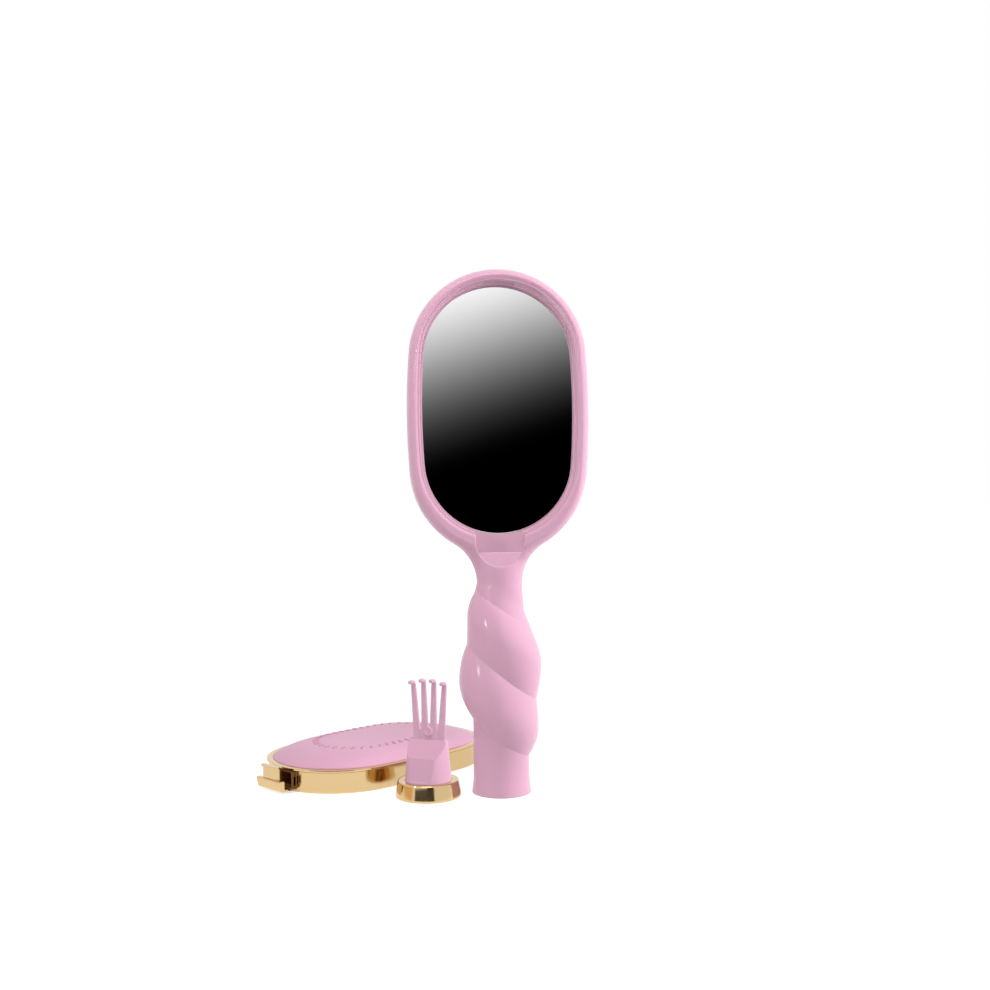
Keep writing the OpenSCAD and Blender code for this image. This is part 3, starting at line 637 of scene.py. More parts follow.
        # Along the flare the rows lie closer at the neck, and the flat face starts part of the way up
        end, starts = self.head[2], 0.4
        r = end - self.edge
        low = self.end_h - r  # lowest point of the flat face
        for i in range(self.up_flare):
            s = (i / self.up_flare) ** 1.4
            p = self.flare_end * s
            outer = (self.neck + self.flare * (1 - math.cos(p)), self.neck_h + self.flare * math.sin(p))
            if s < starts:
                inner = (0.0, self.neck_h + (low - self.neck_h) * s / starts)
            else:
                q = -math.pi / 2 + (math.pi / 2 - self.flare_end) * (s - starts) / (1 - starts)
                inner = (r * math.cos(q), self.end_h + r * math.sin(q))
            head_row(outer, inner, self.neck + (self.half_t - self.neck) * smooth(s * 1.2))

        r, t = side_arc(self.head)
        for i in range(self.up_end + 1):
            round_row(-self.flare_end + (self.flare_end - t) * i / self.up_end, end, 0, self.end_h)
        for i in range(1, self.up_side):
            round_row(-t + 2 * t * i / self.up_side, r, self.head[0] - r, self.head_h)
        for i in range(self.up_crown + 1):
            round_row(t + (math.pi / 2 - t) * i / self.up_crown, end, 0, self.end_h + 2 * self.head_c)
        return rows

    def half(self, a0, lines):
        """One half of the solid handle, from angle a0 round to a0 + 180."""
        columns, rows = self.columns(a0), self.rows(a0, lines)
        last = len(columns) - 1

        def put(i, j):
            a, side = columns[i]
            p = rows[j](a, side, self.parting if i in (0, last) else 0.0)
            if i in (0, last):
                p.y = 0.0
            return p

        bm = bmesh.new()
        wrap(bm, last, len(rows) - 1, put)
        merge(bm)
        level = 1e-4
        foot = [e for e in bm.edges if e.is_boundary and all(abs(v.co.z) < level for v in e.verts)]
        ends = [v for e in foot for v in e.verts if abs(v.co.y) < level]
        across = bm.edges.new((min(ends, key=lambda v: v.co.x), max(ends, key=lambda v: v.co.x)))
        split = [e for e in bm.edges if e.is_boundary and e not in foot and e != across]
        for rim in (foot, split):
            bmesh.ops.triangle_fill(bm, edges=rim + [across], use_beauty=True, use_dissolve=False)
        point_outwards(bm)
        return bm


def notch_tool(skin, sizes, surface, middle):
    """Cutter for the thumb notch, with a rounded edge that follows the front of the handle."""
    face, floor = -skin.half_t, POCKET_FLOOR
    r, centre, edge = mm(sizes.notch_width) / 2, mm(sizes.notch_height), mm(sizes.ramp_height)
    top = middle - mouth_oval(sizes)[1] + 8  # well inside the pocket

    # Points round the notch, each with the way out of it: left side, round end, right side and top
    outline = [((-r, top - (top - centre) * i / 10), (-1, 0)) for i in range(10)]
    for i in range(49):
        q = math.radians(180 + 180 * i / 48)
        outline.append(((r * math.cos(q), centre + r * math.sin(q)), (math.cos(q), math.sin(q))))
    outline += [((r, centre + (top - centre) * i / 10), (1, 0)) for i in range(1, 11)]
    outline += [((r - 2 * r * i / 8, top), (0, 0)) for i in range(1, 8)]

    # Up the wall: how far out of the outline and how deep under the surface, with None for the bottom
    fillet = 0.6
    steps = [(0, None)]
    for q in map(math.radians, range(0, 76, 15)):
        steps.append((fillet * (1 - math.cos(q)), fillet * (1 - math.sin(q))))
    steps += [(fillet * 0.75 + 0.9, -0.25), (fillet * 0.75 + 1.0, -4)]

    def height(x, z):
        hit = surface.ray_cast(Vector((x, -80, z)), Vector((0, 1, 0)))[0]
        return hit.y if hit and z < top - 4 else face

    def notch(bm):
        def put(i, j):
            (x, z), (nx, nz) = outline[i % len(outline)]
            out, deep = steps[j]
            x, z = x + nx * out, z + nz * out
            return Vector((x, floor + 1 if deep is None else height(x, z) + deep, z))

        wrap(bm, len(outline), len(steps) - 1, put)
        close_up(bm)
        cap(bm)
        bmesh.ops.triangulate(bm, faces=[f for f in bm.faces if len(f.verts) > 4])

    def side_view(bm):
        """The notch from the side: as deep as the pocket, then out along the ramp, with a soft corner."""
        low = (face + 1, centre - r - 1)  # foot of the ramp, just below the notch, in (y, z)
        corner = Vector((mm(sizes.ramp_depth) + face, edge))
        lean = (corner - Vector(low)).normalized()
        soft = 0.35
        a, b = corner + Vector((soft, 0)), corner - lean * soft
        points = [(floor, top + 1), (floor, edge)]
        for i in range(6):
            t = i / 5
            points.append(tuple(a * (1 - t) ** 2 + corner * 2 * t * (1 - t) + b * t * t))
        points += [low, (face - 6, low[1]), (face - 6, top + 1)]
        extruded(bm, [(-r - 3, y, z) for y, z in points], (2 * r + 6, 0, 0))

    cutter = tool("notch_tool", notch)
    carve(cutter, [tool("notch_side", side_view)], "INTERSECT")
    return cutter


def pocket_tools(skin, sizes, surface):
    """Cutters for the mirror pocket, the slot for the cover's tongue, the thumb notch and its catch."""
    mouth, face, floor = mouth_oval(sizes), -skin.half_t, POCKET_FLOOR
    middle, step, lip = skin.head_h + mm(sizes.rise), mm(sizes.step), mm(sizes.lip_width)

    def pocket(bm):
        deep = step - 0.1
        profile = [(None, face - 2), (-lip - 0.2, face - 2), (-lip - 0.1, face - 0.15)]
        for q in map(math.radians, range(80, -1, -10)):  # the rounded lip
            profile.append((-lip * (1 - math.cos(q)), face + deep * (1 - math.sin(q))))
        profile += [(0.05, face + step), (step - 0.2, face + step), (step - 0.06, face + step + 0.06)]
        profile += [(step, face + step + 0.2), (step, floor - 0.15), (step + 0.15, floor), (None, floor)]
        sweep_oval(bm, mouth, profile, in_head(middle), closed=False)

    def slot(bm):
        wide, deep = 7.65, 5.7  # half its width, and how far it reaches in front of the floor
        beyond = 2.6  # how far it cuts in above the step
        block(bm, (-wide, floor - deep, middle), (wide, floor, middle + mouth[1] - step + beyond))
        soften(bm, 0.3)

    def catch(bm):
        edge = mm(sizes.ramp_height)
        wide, deep = 9.5, 6.5  # half its width, and how far it reaches in front of the floor
        block(bm, (-wide, floor - deep, edge - 2.2), (wide, floor, edge + 1))

    notch = notch_tool(skin, sizes, surface, middle)
    return [tool("pocket_tool", pocket), notch, tool("slot_tool", slot), tool("catch_tool", catch)]


def grip_tools():
    """Cutters for the socket, the room for the prongs and the hollow core."""

    def bores(bm):
        profile = [(0, -1), (SOCKET_RADIUS + 0.4, -1), (SOCKET_RADIUS, 0.25), (SOCKET_RADIUS, SOCKET_DEPTH)]
        profile += [(PRONG_ROOM_RADIUS, SOCKET_DEPTH), (PRONG_ROOM_RADIUS, PRONG_ROOM_TOP), (0, PRONG_ROOM_TOP)]
        lathe(bm, profile, 72)

    def core(bm):
        lathe(bm, [(0, CORE_LOW), (CORE_RADIUS, CORE_LOW), (CORE_RADIUS, CORE_TOP), (0, CORE_TOP)], 48)

    return [tool("bore_tool", bores), tool("core_tool", core)]


class BRUSH_OT_handle(bpy.types.Operator):
    """Builds the half shells of the handle with the mirror pocket, the thumb notch and the cushion's recess"""

    bl_idname = "brush.handle"
    bl_label = "Handle shells"

    def execute(self, context):
        scene = context.scene
        skin = Skin(scene.brush_handle)
        front, rear = skin.half(180, range(2, 7)), skin.half(0, range(2, 9))
        surface = BVHTree.FromBMesh(front)
        front, rear = add_object("front_shell", front), add_object("rear_shell", rear)
        shared = pocket_tools(skin, scene.brush_pocket, surface) + grip_tools()
        carve(front, shared, keep=True)

        floor, back = POCKET_FLOOR, skin.half_t

        def glass(bm):
            bed = inset(mouth_oval(scene.brush_pocket), GLASS_INSET - 0.05)
            profile = [(None, floor - 1), (0, floor - 1), (0, floor + 2), (None, floor + 2)]
            sweep_oval(bm, bed, profile, in_head(skin.head_h + mm(scene.brush_pocket.rise)), closed=False)

        def recess(bm):
            bottom, shoulder = 4.5, back - 1.9
            profile = [(None, bottom), (1.2, bottom), (1.2, shoulder), (0, shoulder), (0, back - 0.35)]
            profile += [(-0.1, back - 0.1), (-0.35, back + 0.02), (-0.5, back + 2), (None, back + 2)]
            sweep_oval(bm, seat_oval(scene.brush_cushion), profile, in_head(skin.head_h), closed=False)

        carve(rear, shared + [tool("glass_tool", glass), tool("recess_tool", recess)])
        pink = moulded_plastic("moulded_abs", scene.brush_finish.pink, 0.16)
        finish_piece(front, "handle", pink, "pink_plastic", "handle_front")
        finish_piece(rear, "handle", pink, "pink_plastic", "handle_rear")
        return {"FINISHED"}


class BRUSH_OT_mirror(bpy.types.Operator):
    """Builds the mirror glass with its ground edge and the socket's sleeve, and dresses the mirror's tape"""

    bl_idname = "brush.mirror"
    bl_label = "Mirror and sleeve"

    def execute(self, context):
        scene = context.scene
        middle = Skin(scene.brush_handle).head_h + mm(scene.brush_pocket.rise)
        back = POCKET_FLOOR + mm(scene.brush_pocket.glass_thickness)
        ground_edge = ((0.5, 0), (0.3, 0.04), (0.1, 0.16), (0, 0.35))
        profile = [(None, POCKET_FLOOR)] + [(x, POCKET_FLOOR + y) for x, y in ground_edge]
        profile += [(0, back - 0.2), (0.2, back), (None, back)]
        oval = inset(mouth_oval(scene.brush_pocket), GLASS_INSET)
        bm = bmesh.new()
        sweep_oval(bm, oval, profile, in_head(middle), closed=False)
        close_up(bm)
        glass = add_object("mirror_plate", bm)
        glass.visible_diffuse = False  # throws no light on what is round it
        silver = silvered_glass("silvered_glass", scene.brush_finish.silver)
        finish_piece(glass, "handle", silver, "mirror", "mirror_glass", crease=20)

        bm = bmesh.new()
        inside, outside, top = 10.45, SOCKET_RADIUS, SOCKET_DEPTH - 0.1
        profile = [(inside, top), (inside, 0.5), (inside + 0.3, 0.06), (inside + 0.5, 0)]
        profile += [(outside, 0.25), (outside, top), (inside, top)]
        lathe(bm, profile)
        sleeve = moulded_plastic("sleeve_abs", scene.brush_finish.sleeve, 0.42)
        finish_piece(add_object("socket_liner", bm), "handle", sleeve, "sleeve_plastic", "socket_sleeve")
        dress("mirror_pad", foam_tape("foam_tape", scene.brush_finish.foam))
        return {"FINISHED"}


def bristle_feet(sizes, field):
    """Feet of the bristles, in staggered rows."""
    pitch = mm(sizes.bristle_pitch)
    row = pitch * math.sqrt(3) / 2
    feet = []
    count = int(field[1] / row)
    for j in range(-count, count + 1):
        odd = abs(j) % 2 / 2
        n = math.floor(oval_x(field, j * row) / pitch - odd)
        i = -n - 2 * odd
        while i <= n + 1e-6:
            feet.append(((i + odd) * pitch, j * row))
            i += 1
    return feet


class BRUSH_OT_cushion(bpy.types.Operator):
    """Builds the ring, the swelling rubber cushion and the ball-tipped bristles on the back of the head"""

    bl_idname = "brush.cushion"
    bl_label = "Bristle cushion"

    def execute(self, context):
        scene, sizes = context.scene, context.scene.brush_cushion
        skin = Skin(scene.brush_handle)
        seat, at = seat_oval(sizes), in_head(skin.head_h)
        top, under = skin.half_t - 0.4, 1.5  # outer face of the ring and its thickness
        face = mm(sizes.ring_face)

        bm = bmesh.new()
        ring = [(0.05, top - under), (0.05, top - 0.35), (0.15, top - 0.1), (0.4, top), (face - 0.6, top)]
        ring += [(face - 0.2, top - 0.12), (face, top - 0.5), (face, top - under)]
        sweep_oval(bm, seat, ring, at)
        close_up(bm)
        pink = moulded_plastic("ring_abs", scene.brush_finish.pink, 0.24)
        finish_piece(add_object("retaining_ring", bm), "handle", pink, "pink_plastic", "cushion_ring")

        crown, gap = mm(sizes.crown), 0.3
        roll, bare = 1.4, 1.4  # widths of the rolled edge and of the bare strip between it and the bristles
        edge, field = inset(seat, face + gap), inset(seat, face + gap + roll + bare)

        def swell(x, z):
            """Height of the cushion above its edge."""
            s = min(1.0, math.hypot(x / field[0], z / field[1]))
            return crown * (1 - s ** 2.2)

        # The flange under the ring, the rolled edge, and then the dome in shares of the way to its middle
        flange = face + gap - 1.5
        rings = [(None, top - 2.9), (-flange, top - 2.9), (-flange, top - 1.8), (-0.1, top - 1.8)]
        rings += [(0.05, top - 0.9), (0.25, top - 0.35), (0.7, top - 0.06), (roll, top + 0.05)]
        loops = [oval_loop(inset(edge, p[0])) if p[0] is not None else None for p in rings]
        shares = [1 - i / 16 for i in range(1, 17)]
        inner = loops[-1]
        n = len(inner)

        def put(i, j):
            if j < len(rings):
                x, z = loops[j][i % n] if loops[j] else (0.0, 0.0)
                return at(x, z, rings[j][1])
            share = shares[j - len(rings)]
            x, z = (c * share for c in inner[i % n])
            return at(x, z, rings[-1][1] + swell(x, z) * smooth((1 - share) * 6))

        bm = bmesh.new()
        wrap(bm, n, len(rings) + len(shares) - 1, put)
        close_up(bm)
        pad = add_object("rubber_cushion", bm)
        rubber = soft_rubber("soft_rubber", scene.brush_finish.rubber)
        finish_piece(pad, "cushion", rubber, "cushion_rubber", "cushion_pad")

        strand = bmesh.new()
        r, tall = mm(sizes.bristle_width) / 2, mm(sizes.bristle_length)
        ball, thin = r * 0.9, r * 0.62
        profile = [(r * 2.0, -0.35), (r * 1.85, 0.18), (r * 1.25, 0.5), (r, 0.9)]
        profile += [(thin, tall - 2 * ball), (thin, tall - 1.7 * ball)]
        for q in map(math.radians, (125, 85, 45, 0)):
            profile.append((ball * math.sin(q), tall - ball + ball * math.cos(q)))
        lathe(strand, profile, 8)
        cap(strand)
        point_outwards(strand)

        def foot(x, z):
            return lambda co: at(x + co.x, z + co.y, top + swell(x, z) + co.z)

        bristles = add_object("ball_bristles", repeated(strand, [foot(*p) for p in bristle_feet(sizes, field)]))
        pale = nylon("nylon", scene.brush_finish.nylon)
        finish_piece(bristles, "cushion", pale, "bristle_nylon", "bristles", crease=60)
        return {"FINISHED"}


def dash(dash_length):
    """One raised dash of the ornament, lying along X, with rounded ends and a soft top edge."""
    bm = bmesh.new()
    made = bmesh.ops.create_cube(bm, size=1.0)["verts"]
    bmesh.ops.scale(bm, vec=(dash_length, 1.3, 0.8), verts=made)
    bevel(bm, [e for e in bm.edges if abs(e.verts[0].co.z - e.verts[1].co.z) > 0.1], 0.6, 3)
    top = [e for e in bm.edges if all(v.co.z > 0.2 for v in e.verts) and e.calc_face_angle(0) > 0.7]
    bevel(bm, top, 0.13, 2)
    return bm


def shape_to_rim(bm, rim, end):
    """Lets a piece on an end of the cover reach in to the rim's round wall."""
    wall = inset(rim, RIM_WALL)
    for v in bm.verts:
        if abs(v.co.x) < end:
            reach = wall[1] - wall[2] + math.sqrt(max(0.0, wall[2] ** 2 - v.co.y ** 2)) - 0.15
            v.co.x = math.copysign(reach, v.co.x)


class BRUSH_OT_cover(bpy.types.Operator):
    """Builds the mirror cover: plated rim and tongue, swelling face plate, ring of dashes and inner panel"""

    bl_idname = "brush.cover"
    bl_label = "Mirror cover"

    def execute(self, context):
        scene, sizes = context.scene, context.scene.brush_cover
        place, rim = on_cover(sizes), rim_oval(scene)
        tall, lip, band = mm(sizes.rim_height), mm(sizes.lip), mm(sizes.band)
        face_z = tall + 0.3 - mm(sizes.face_edge)  # underside of the face plate
        gold = plated_brass("plated_brass", scene.brush_finish.plating)
        pink = moulded_plastic("cover_abs", scene.brush_finish.pink, 0.34, 0.04)

        def at(x, y, z):
            """Puts a point of an oval, Y along it, on the cover."""
            return place @ Vector((y, -x, z))

        def on_face(x, y, z):
            return at(x, y, face_z + z)

        # Round the rim's section: up the wall, round the lip, over the band, down to the ledge and down inside
        under, ledge, inside = tall - lip, band + 1.4, 2.6
        profile = [(1.35, 0), (1.08, 0.1), (RIM_WALL, 0.4), (RIM_WALL, under - 0.55), (1.25, under - 0.45)]
        profile += [(1.25, under), (0.25, under), (0.04, under + 0.06), (0, under + 0.15), (0.085, tall - 0.16)]
        profile += [(0.2, tall - 0.06), (0.5, tall - 0.01), (band - 0.3, tall), (band - 0.08, tall - 0.06)]
        profile += [(band - 0.05, tall - 0.3), (band - 0.05, face_z), (ledge, face_z), (ledge, face_z - 1)]
        profile += [(inside, face_z - 1), (inside, 0.3), (2.4, 0.05), (2.2, 0)]
        bm = bmesh.new()
        sweep_oval(bm, rim, profile, at)
        close_up(bm)
        finish_piece(add_object("plated_rim", bm), "cover", gold, "gold", "cover_rim", crease=35)

        face, t, crown, swell = inset(rim, band), mm(sizes.face_edge), mm(sizes.face_crown), sizes.face_swell
        rows = [(1, 0), (0.5, 0), (0, 0), (0, t - 0.35), (0.0012, t - 0.12)]
        steps, edge = 30, 0.003  # rows over the swell, and the share where it starts
        for i in range(steps + 1):
            s = edge + (1 - edge) * (i / steps) ** 1.7
            rows.append((s, t + crown * (1 - (1 - s) ** swell)))
        bm = bmesh.new()
        dish(bm, face, rows, on_face)
        close_up(bm)
        finish_piece(add_object("face_plate", bm), "cover", pink, "pink_plastic", "cover_face")

        ring = 0.6  # share of the face plate's outline on which the dashes lie

        def dash_at(x, y):
            z = face_z + t + crown * (1 - ring ** swell)
            tilt = math.atan(crown * swell * ring ** swell / math.hypot(x, y))
            turn = Matrix.Rotation(math.atan2(y, x), 4, "Z") @ Matrix.Rotation(tilt, 4, "Y")
            turn = Matrix.Translation((x, y, z)) @ turn
            return lambda co: at(*(turn @ co))

        loop = oval_loop(tuple(c * ring for c in face), 7, 13)
        bm = repeated(dash(mm(sizes.dash_length)), [dash_at(x, y) for x, y in loop])
        # Painted shade: the dashes take a deeper pink than the plate, which stands in for their shading
        shade_darkened_pink = moulded_plastic("dash_abs_painted_shade", scene.brush_finish.dashes, 0.34, 0.04)
        dashes = add_object("raised_dashes", bm)
        finish_piece(dashes, "cover", shade_darkened_pink, "pink_plastic", "cover_ornament", crease=50)

        bm = bmesh.new()
        rows = [(1, -2), (0.012, -2), (0.004, -1.9), (0, -1.7), (0, -1), (1, -1)]
        dish(bm, inset(rim, inside + 0.05), rows, on_face)
        close_up(bm)
        finish_piece(add_object("inner_panel", bm), "cover", pink, "pink_plastic", "cover_panel")

        bm = bmesh.new()
        end, wide = rim[1] - RIM_WALL, 7.35
        block(bm, (end - 0.15, -wide, 0.8), (end + 2.2, wide, 4))
        soften(bm, 0.55, 3, only=lambda e: all(v.co.x > end + 1 for v in e.verts))
        shape_to_rim(bm, rim, end)
        move(bm, place)
        finish_piece(add_object("plated_tongue", bm), "cover", gold, "gold", "cover_tongue")
        return {"FINISHED"}


class BRUSH_OT_clip(bpy.types.Operator):
    """Builds the release clip: bracket, inner leg with the bend, and outer leg with lugs and thumb tab"""

    bl_idname = "brush.clip"
    bl_label = "Release clip"

    def execute(self, context):
        scene, sizes = context.scene, context.scene.brush_cover
        place, rim, rise = on_cover(sizes), rim_oval(scene), mm(sizes.clip_rise)
        gold = plated_brass("plated_brass", scene.brush_finish.plating)
        # The bracket and the inner leg, inside the clip, get a dark brown plating that paints the shade between
        # the legs
        painted_shade_brass = plated_brass("brass_painted_shade", scene.brush_finish.recess)
        end = rim[1] - RIM_WALL  # the rim's wall, from the middle of the cover
        thick, gap, wide = 1, 3.7, 9  # thickness of a leg, gap between the legs, half the clip's width
        inner = end + 0.9  # inner face of the inner leg
        outer = inner + thick + gap  # inner face of the outer leg
        hinge = inner + thick + gap / 2  # middle of the bend
        face = outer + 1.7  # outer face of the outer leg

        def across(bm, outline):
            """Extrudes a side view of the clip over its width."""
            extruded(bm, [(x, -wide, z) for x, z in outline], (0, 2 * wide, 0))

        bm = bmesh.new()
        half = wide - 0.3
        block(bm, (-inner + 0.05, -half, rise + 0.2), (-end + 0.15, half, rise + 8.2))
        soften(bm, 0.3, 3, only=lambda e: all(v.co.x < -end - 0.5 for v in e.verts))
        shape_to_rim(bm, rim, end)
        bracket = add_object("clip_bracket_block", bm)

        def keyway(y):
            low, high = (-inner + 0.5, y - 1.5, rise + 2), (-inner + 1.5, y + 1.5, rise + 6)
            return lambda bm: block(bm, low, high)

        carve(bracket, [tool("keyway_left", keyway(8.2)), tool("keyway_right", keyway(-8.2))])
        bracket.data.transform(place)
        finish_piece(bracket, "cover", painted_shade_brass, "gold", "clip_bracket", crease=35)

        bm = bmesh.new()
        top = mm(sizes.rim_height) - mm(sizes.lip) - 0.4
        side = [(-inner, top), (-inner - thick, top)]
        side += arc(-inner - thick - 0.6, rise + 1.6, 0.6, 0, -90, 3)
        side += [(-hinge + 0.62, rise + thick), (-hinge + 0.62, rise)]
        side += arc(-inner - 1.4, rise + 1.4, 1.4, -90, 0, 3)
        across(bm, side)
        soften(bm, 0.2, above=50)
        move(bm, place)
        point_outwards(bm)
        finish_piece(add_object("clip_inner_leg", bm), "cover", painted_shade_brass, "gold", "clip_anchor", crease=35)

        # The lugs from the bend up to the barb that holds the cover, and back down their outer face
        bm = bmesh.new()
        side = [(-hinge + 0.05, rise + thick), (-hinge - 0.35, rise + thick)]
        side += arc(-outer + 0.7, rise + 1.7, 0.7, 270, 180, 3)
        side += [(-outer, rise + 4.5), (-outer - 0.4, rise + 4.9)]
        barb = ((0.55, 4.9), (0.95, 4.75), (1, 4.4), (0.45, 2.2), (0.1, 1.2))
        side += [(-face - x, rise + z) for x, z in barb]
        side += arc(-face + 1, rise + 1.05, 1.05, 195, 270, 3)
        side += [(-hinge - 0.35, rise), (-hinge + 0.05, rise)]
        across(bm, side)
        soften(bm, 0.22, above=50)
        lugs = add_object("clip_lugs", bm)

        def leg(bm):
            points = [(-outer, -5.2), (-face + 0.35, -5.2), (-face + 0.08, -5.05), (-face, -4.7)]
            outline = points + [(x, -y) for x, y in reversed(points)]
            extruded(bm, [(x, y, rise + 3.2) for x, y in outline], (0, 0, 7.5))

        def tab(bm):
            w = 6.4
            outline = [(-outer - 0.1, -w + 0.7), (-outer - 0.1, w - 0.7), (-face + 0.3, w)]
            for q in map(math.radians, range(75, -76, -10)):  # bulging front
                outline.append((-face - 1.4 * math.cos(q), w * math.sin(q)))
            outline.append((-face + 0.3, -w))
            extruded(bm, [(x, y, rise + 10) for x, y in outline], (0, 0, 1))
            soften(bm, 0.25, 3, above=50)

        carve(lugs, [tool("clip_leg", leg), tool("clip_tab", tab)], "UNION")
        lugs.data.transform(place)
        finish_piece(lugs, "clip", gold, "gold", "release_clip", crease=35)
        return {"FINISHED"}


HOOK_TIP = (25, 50, 75, 90)  # degrees round the end of a prong's hook


def prong(bm, path, high, middle, fork, widths, spreads, thick):
    """A rounded flat prong along a path of (y, z). It leans outwards and narrows from the fork to its top."""
    cells, squareness = 16, 0.55
    tip = [math.cos(math.radians(q)) for q in HOOK_TIP]
    full = len(path) - len(tip)
    size = [1.0] * full + tip

    def put(i, j):
        a, b = path[max(0, j - 1)], path[min(len(path) - 1, j + 1)]
        along = Vector((0, b[0] - a[0], b[1] - a[1])).normalized() if j < full else Vector((0, -1, 0))
        y, z = path[j]
        share = min(1.0, max(0.0, (z - fork) / (high - fork)))
        w, x = (pair[0] + (pair[1] - pair[0]) * share for pair in (widths, spreads))
        q = math.tau * i / cells
        c, s = math.cos(q), math.sin(q)
        flat = 1 + ((abs(c) ** 4 + abs(s) ** 4) ** -0.25 - 1) * squareness
        wide, out = Vector((1, 0, 0)), along.cross(Vector((1, 0, 0)))
        return Vector((x, middle + y, z)) + (wide * (w / 2 * c) + out * (thick / 2 * s)) * (flat * size[j])

    wrap(bm, cells, len(path) - 1, put)


class BRUSH_OT_rake(bpy.types.Operator):
    """Builds the rake: plated base, plug with its flat and nibs, four hooked prongs and the round boss"""

    bl_idname = "brush.rake"
    bl_label = "Rake"

    def execute(self, context):
        scene, sizes = context.scene, context.scene.brush_rake
        place = on_rake(sizes)
        gold = plated_brass("plated_brass", scene.brush_finish.plating)
        pink = moulded_plastic("rake_abs", scene.brush_finish.pink, 0.28)
        base, top, tall = mm(sizes.base_radius), mm(sizes.base_top), mm(sizes.base_height)
        plug, plug_h = mm(sizes.plug_radius), mm(sizes.plug_height)
        seat = 1.6  # height of the plug's bottom, sunk in the base

        bm = bmesh.new()
        slope = (top + 0.2 - base) / (tall - 1.1)
        profile = [(0, 0), (base - 0.6, 0)] + arc(base - 0.6, 0.55, 0.55, -90, 0, 5)[1:]
        profile += [(base + slope * (z - 0.6), z) for z in (1.2, 3, 5, tall - 0.9)]
        profile += arc(top - 0.5, tall - 0.7, 0.7, 8, 90, 6)
        profile += [(plug + 0.45, tall), (plug + 0.2, tall - 0.12), (plug + 0.15, tall - 0.4)]
        profile += [(plug + 0.15, seat), (0, seat)]
        lathe(bm, profile, 128)
        move(bm, place)
        plated = add_object("plated_base", bm)
        plated.visible_diffuse = False  # throws no light on what is round it
        finish_piece(plated, "rake", gold, "gold", "rake_base", crease=35)

        bm = bmesh.new()
        rounded = plug_h - 1.6  # where the plug's top starts to round
        narrows = (NARROW_PLUG - plug) / (rounded - tall)
        profile = [(0, seat), (plug - 0.3, seat), (plug, 1.9), (plug, tall)]
        for i in range(1, 7):
            up = (rounded - tall) * i / 6
            profile.append((plug + narrows * up, tall + up))
        profile += [(NARROW_PLUG - x, plug_h - z) for x, z in ((0.06, 1.1), (0.35, 0.6), (0.8, 0.2), (1.3, 0))]
        lathe(bm, profile + [(0, plug_h)])
        body = add_object("rake_plug_body", bm)

        def flat(bm):
            """The flat front and the slope above it."""
            points = [(-30, tall + 0.6), (-8.9, tall + 0.6), (-7, 17.7)]
            points += [(0.5, plug_h), (0.5, plug_h + 1), (-30, plug_h + 1)]
            extruded(bm, [(-20, y, z) for y, z in points], (40, 0, 0))

        def front(e):
            """The edges of the flat front and the slope."""
            return all(v.co.z > tall + 0.3 for v in e.verts) and any(
                f.normal.y < -0.35 and abs(f.normal.x) < 0.02 and f.calc_area() > 20 for f in e.link_faces
            )

        carve(body, [tool("plug_flat", flat)])
        bm = bmesh.new()
        bm.from_mesh(body.data)
        flat_angle = math.radians(0.5)
        bmesh.ops.dissolve_limit(bm, angle_limit=flat_angle, verts=bm.verts, edges=bm.edges, delimit=set())
        soften(bm, 0.7, 4, above=12, only=front)
        close_up(bm)
        bm.to_mesh(body.data)
        bm.free()
        body.data.transform(place)
        finish_piece(body, "rake", pink, "pink_plastic", "rake_plug", crease=30)

        bm = bmesh.new()
        nib, from_back, sunk = 0.75, 69, 0.12  # radius, degrees from the back of the plug, depth in its skin
        for side in (-1, 1):
            for z in (10.7, 16.1):
                made = bmesh.ops.create_uvsphere(bm, u_segments=16, v_segments=10, radius=nib)["verts"]
                bmesh.ops.scale(bm, vec=(0.6, 1, 1), verts=made)
                turn = Matrix.Rotation(math.radians(90 - side * from_back), 4, "Z")
                out = Matrix.Translation((plug + narrows * (z - tall) - sunk, 0, z))
                bmesh.ops.transform(bm, matrix=place @ turn @ out, verts=made)
        finish_piece(add_object("plug_nibs", bm), "rake", pink, "pink_plastic", "rake_nibs")

        # The prongs stand on one stem with its front at y0, and spread from the fork to their tips
        wide, thin, thick = mm(sizes.prong_width), mm(sizes.prong_tip), mm(sizes.prong_thickness)
        y0, fork, spread, tips, bend = 0.7, 29, 12.2, 15.4, 1.5
        half = spread / 2 + wide / 2 - 0.3
        reach = mm(sizes.hook) - thick / 2 - bend
        bm = bmesh.new()
        block(bm, (-half, y0 + 0.3, 20), (half, y0 + thick, fork + 0.3))
        soften(bm, 0.4, 3)
        for k in range(4):
            high = mm(sizes.tip_height) - (1 if k in (0, 3) else 0)  # the outer two are shorter
            ridge = high - thick / 2
            path = [(0, fork - 7), (0, fork - 0.5)]
            path += [(0, fork + (ridge - bend - fork) * i / 12) for i in range(13)]
            path += arc(-bend, ridge - bend, bend, 15, 90, 5)
            path += [(-bend - reach * s, ridge) for s in (0.3, 0.6, 0.8)]
            for q in map(math.radians, HOOK_TIP):
                path.append((-bend - reach * 0.8 - (0.2 * reach + 0.55) * math.sin(q), ridge))
            spreads = [width * (k / 3 - 0.5) for width in (spread, tips)]
            prong(bm, path, high, y0 + thick / 2, fork, (wide, thin), spreads, thick)
        bmesh.ops.remove_doubles(bm, verts=bm.verts, dist=SAME_POINT)
        cap(bm)
        point_outwards(bm)
        move(bm, place)
        finish_piece(add_object("hooked_prongs", bm), "rake", pink, "pink_plastic", "rake_prongs")

        bm = bmesh.new()
        boss = ((2.05, 0.45), (1.97, 0.63), (1.8, 0.7), (1.35, 0.7), (1.2, 0.55), (0, 0.5))  # with a raised rim
        lathe(bm, [(0, 0), (2.05, 0)] + [(r, thick + z) for r, z in boss], 40)
        move(bm, place @ Matrix.Translation((0, y0 + thick, 28.3)) @ Matrix.Rotation(math.radians(90), 4, "X"))
        finish_piece(add_object("round_boss", bm), "rake", pink, "pink_plastic", "rake_boss")
        return {"FINISHED"}


# Finishes


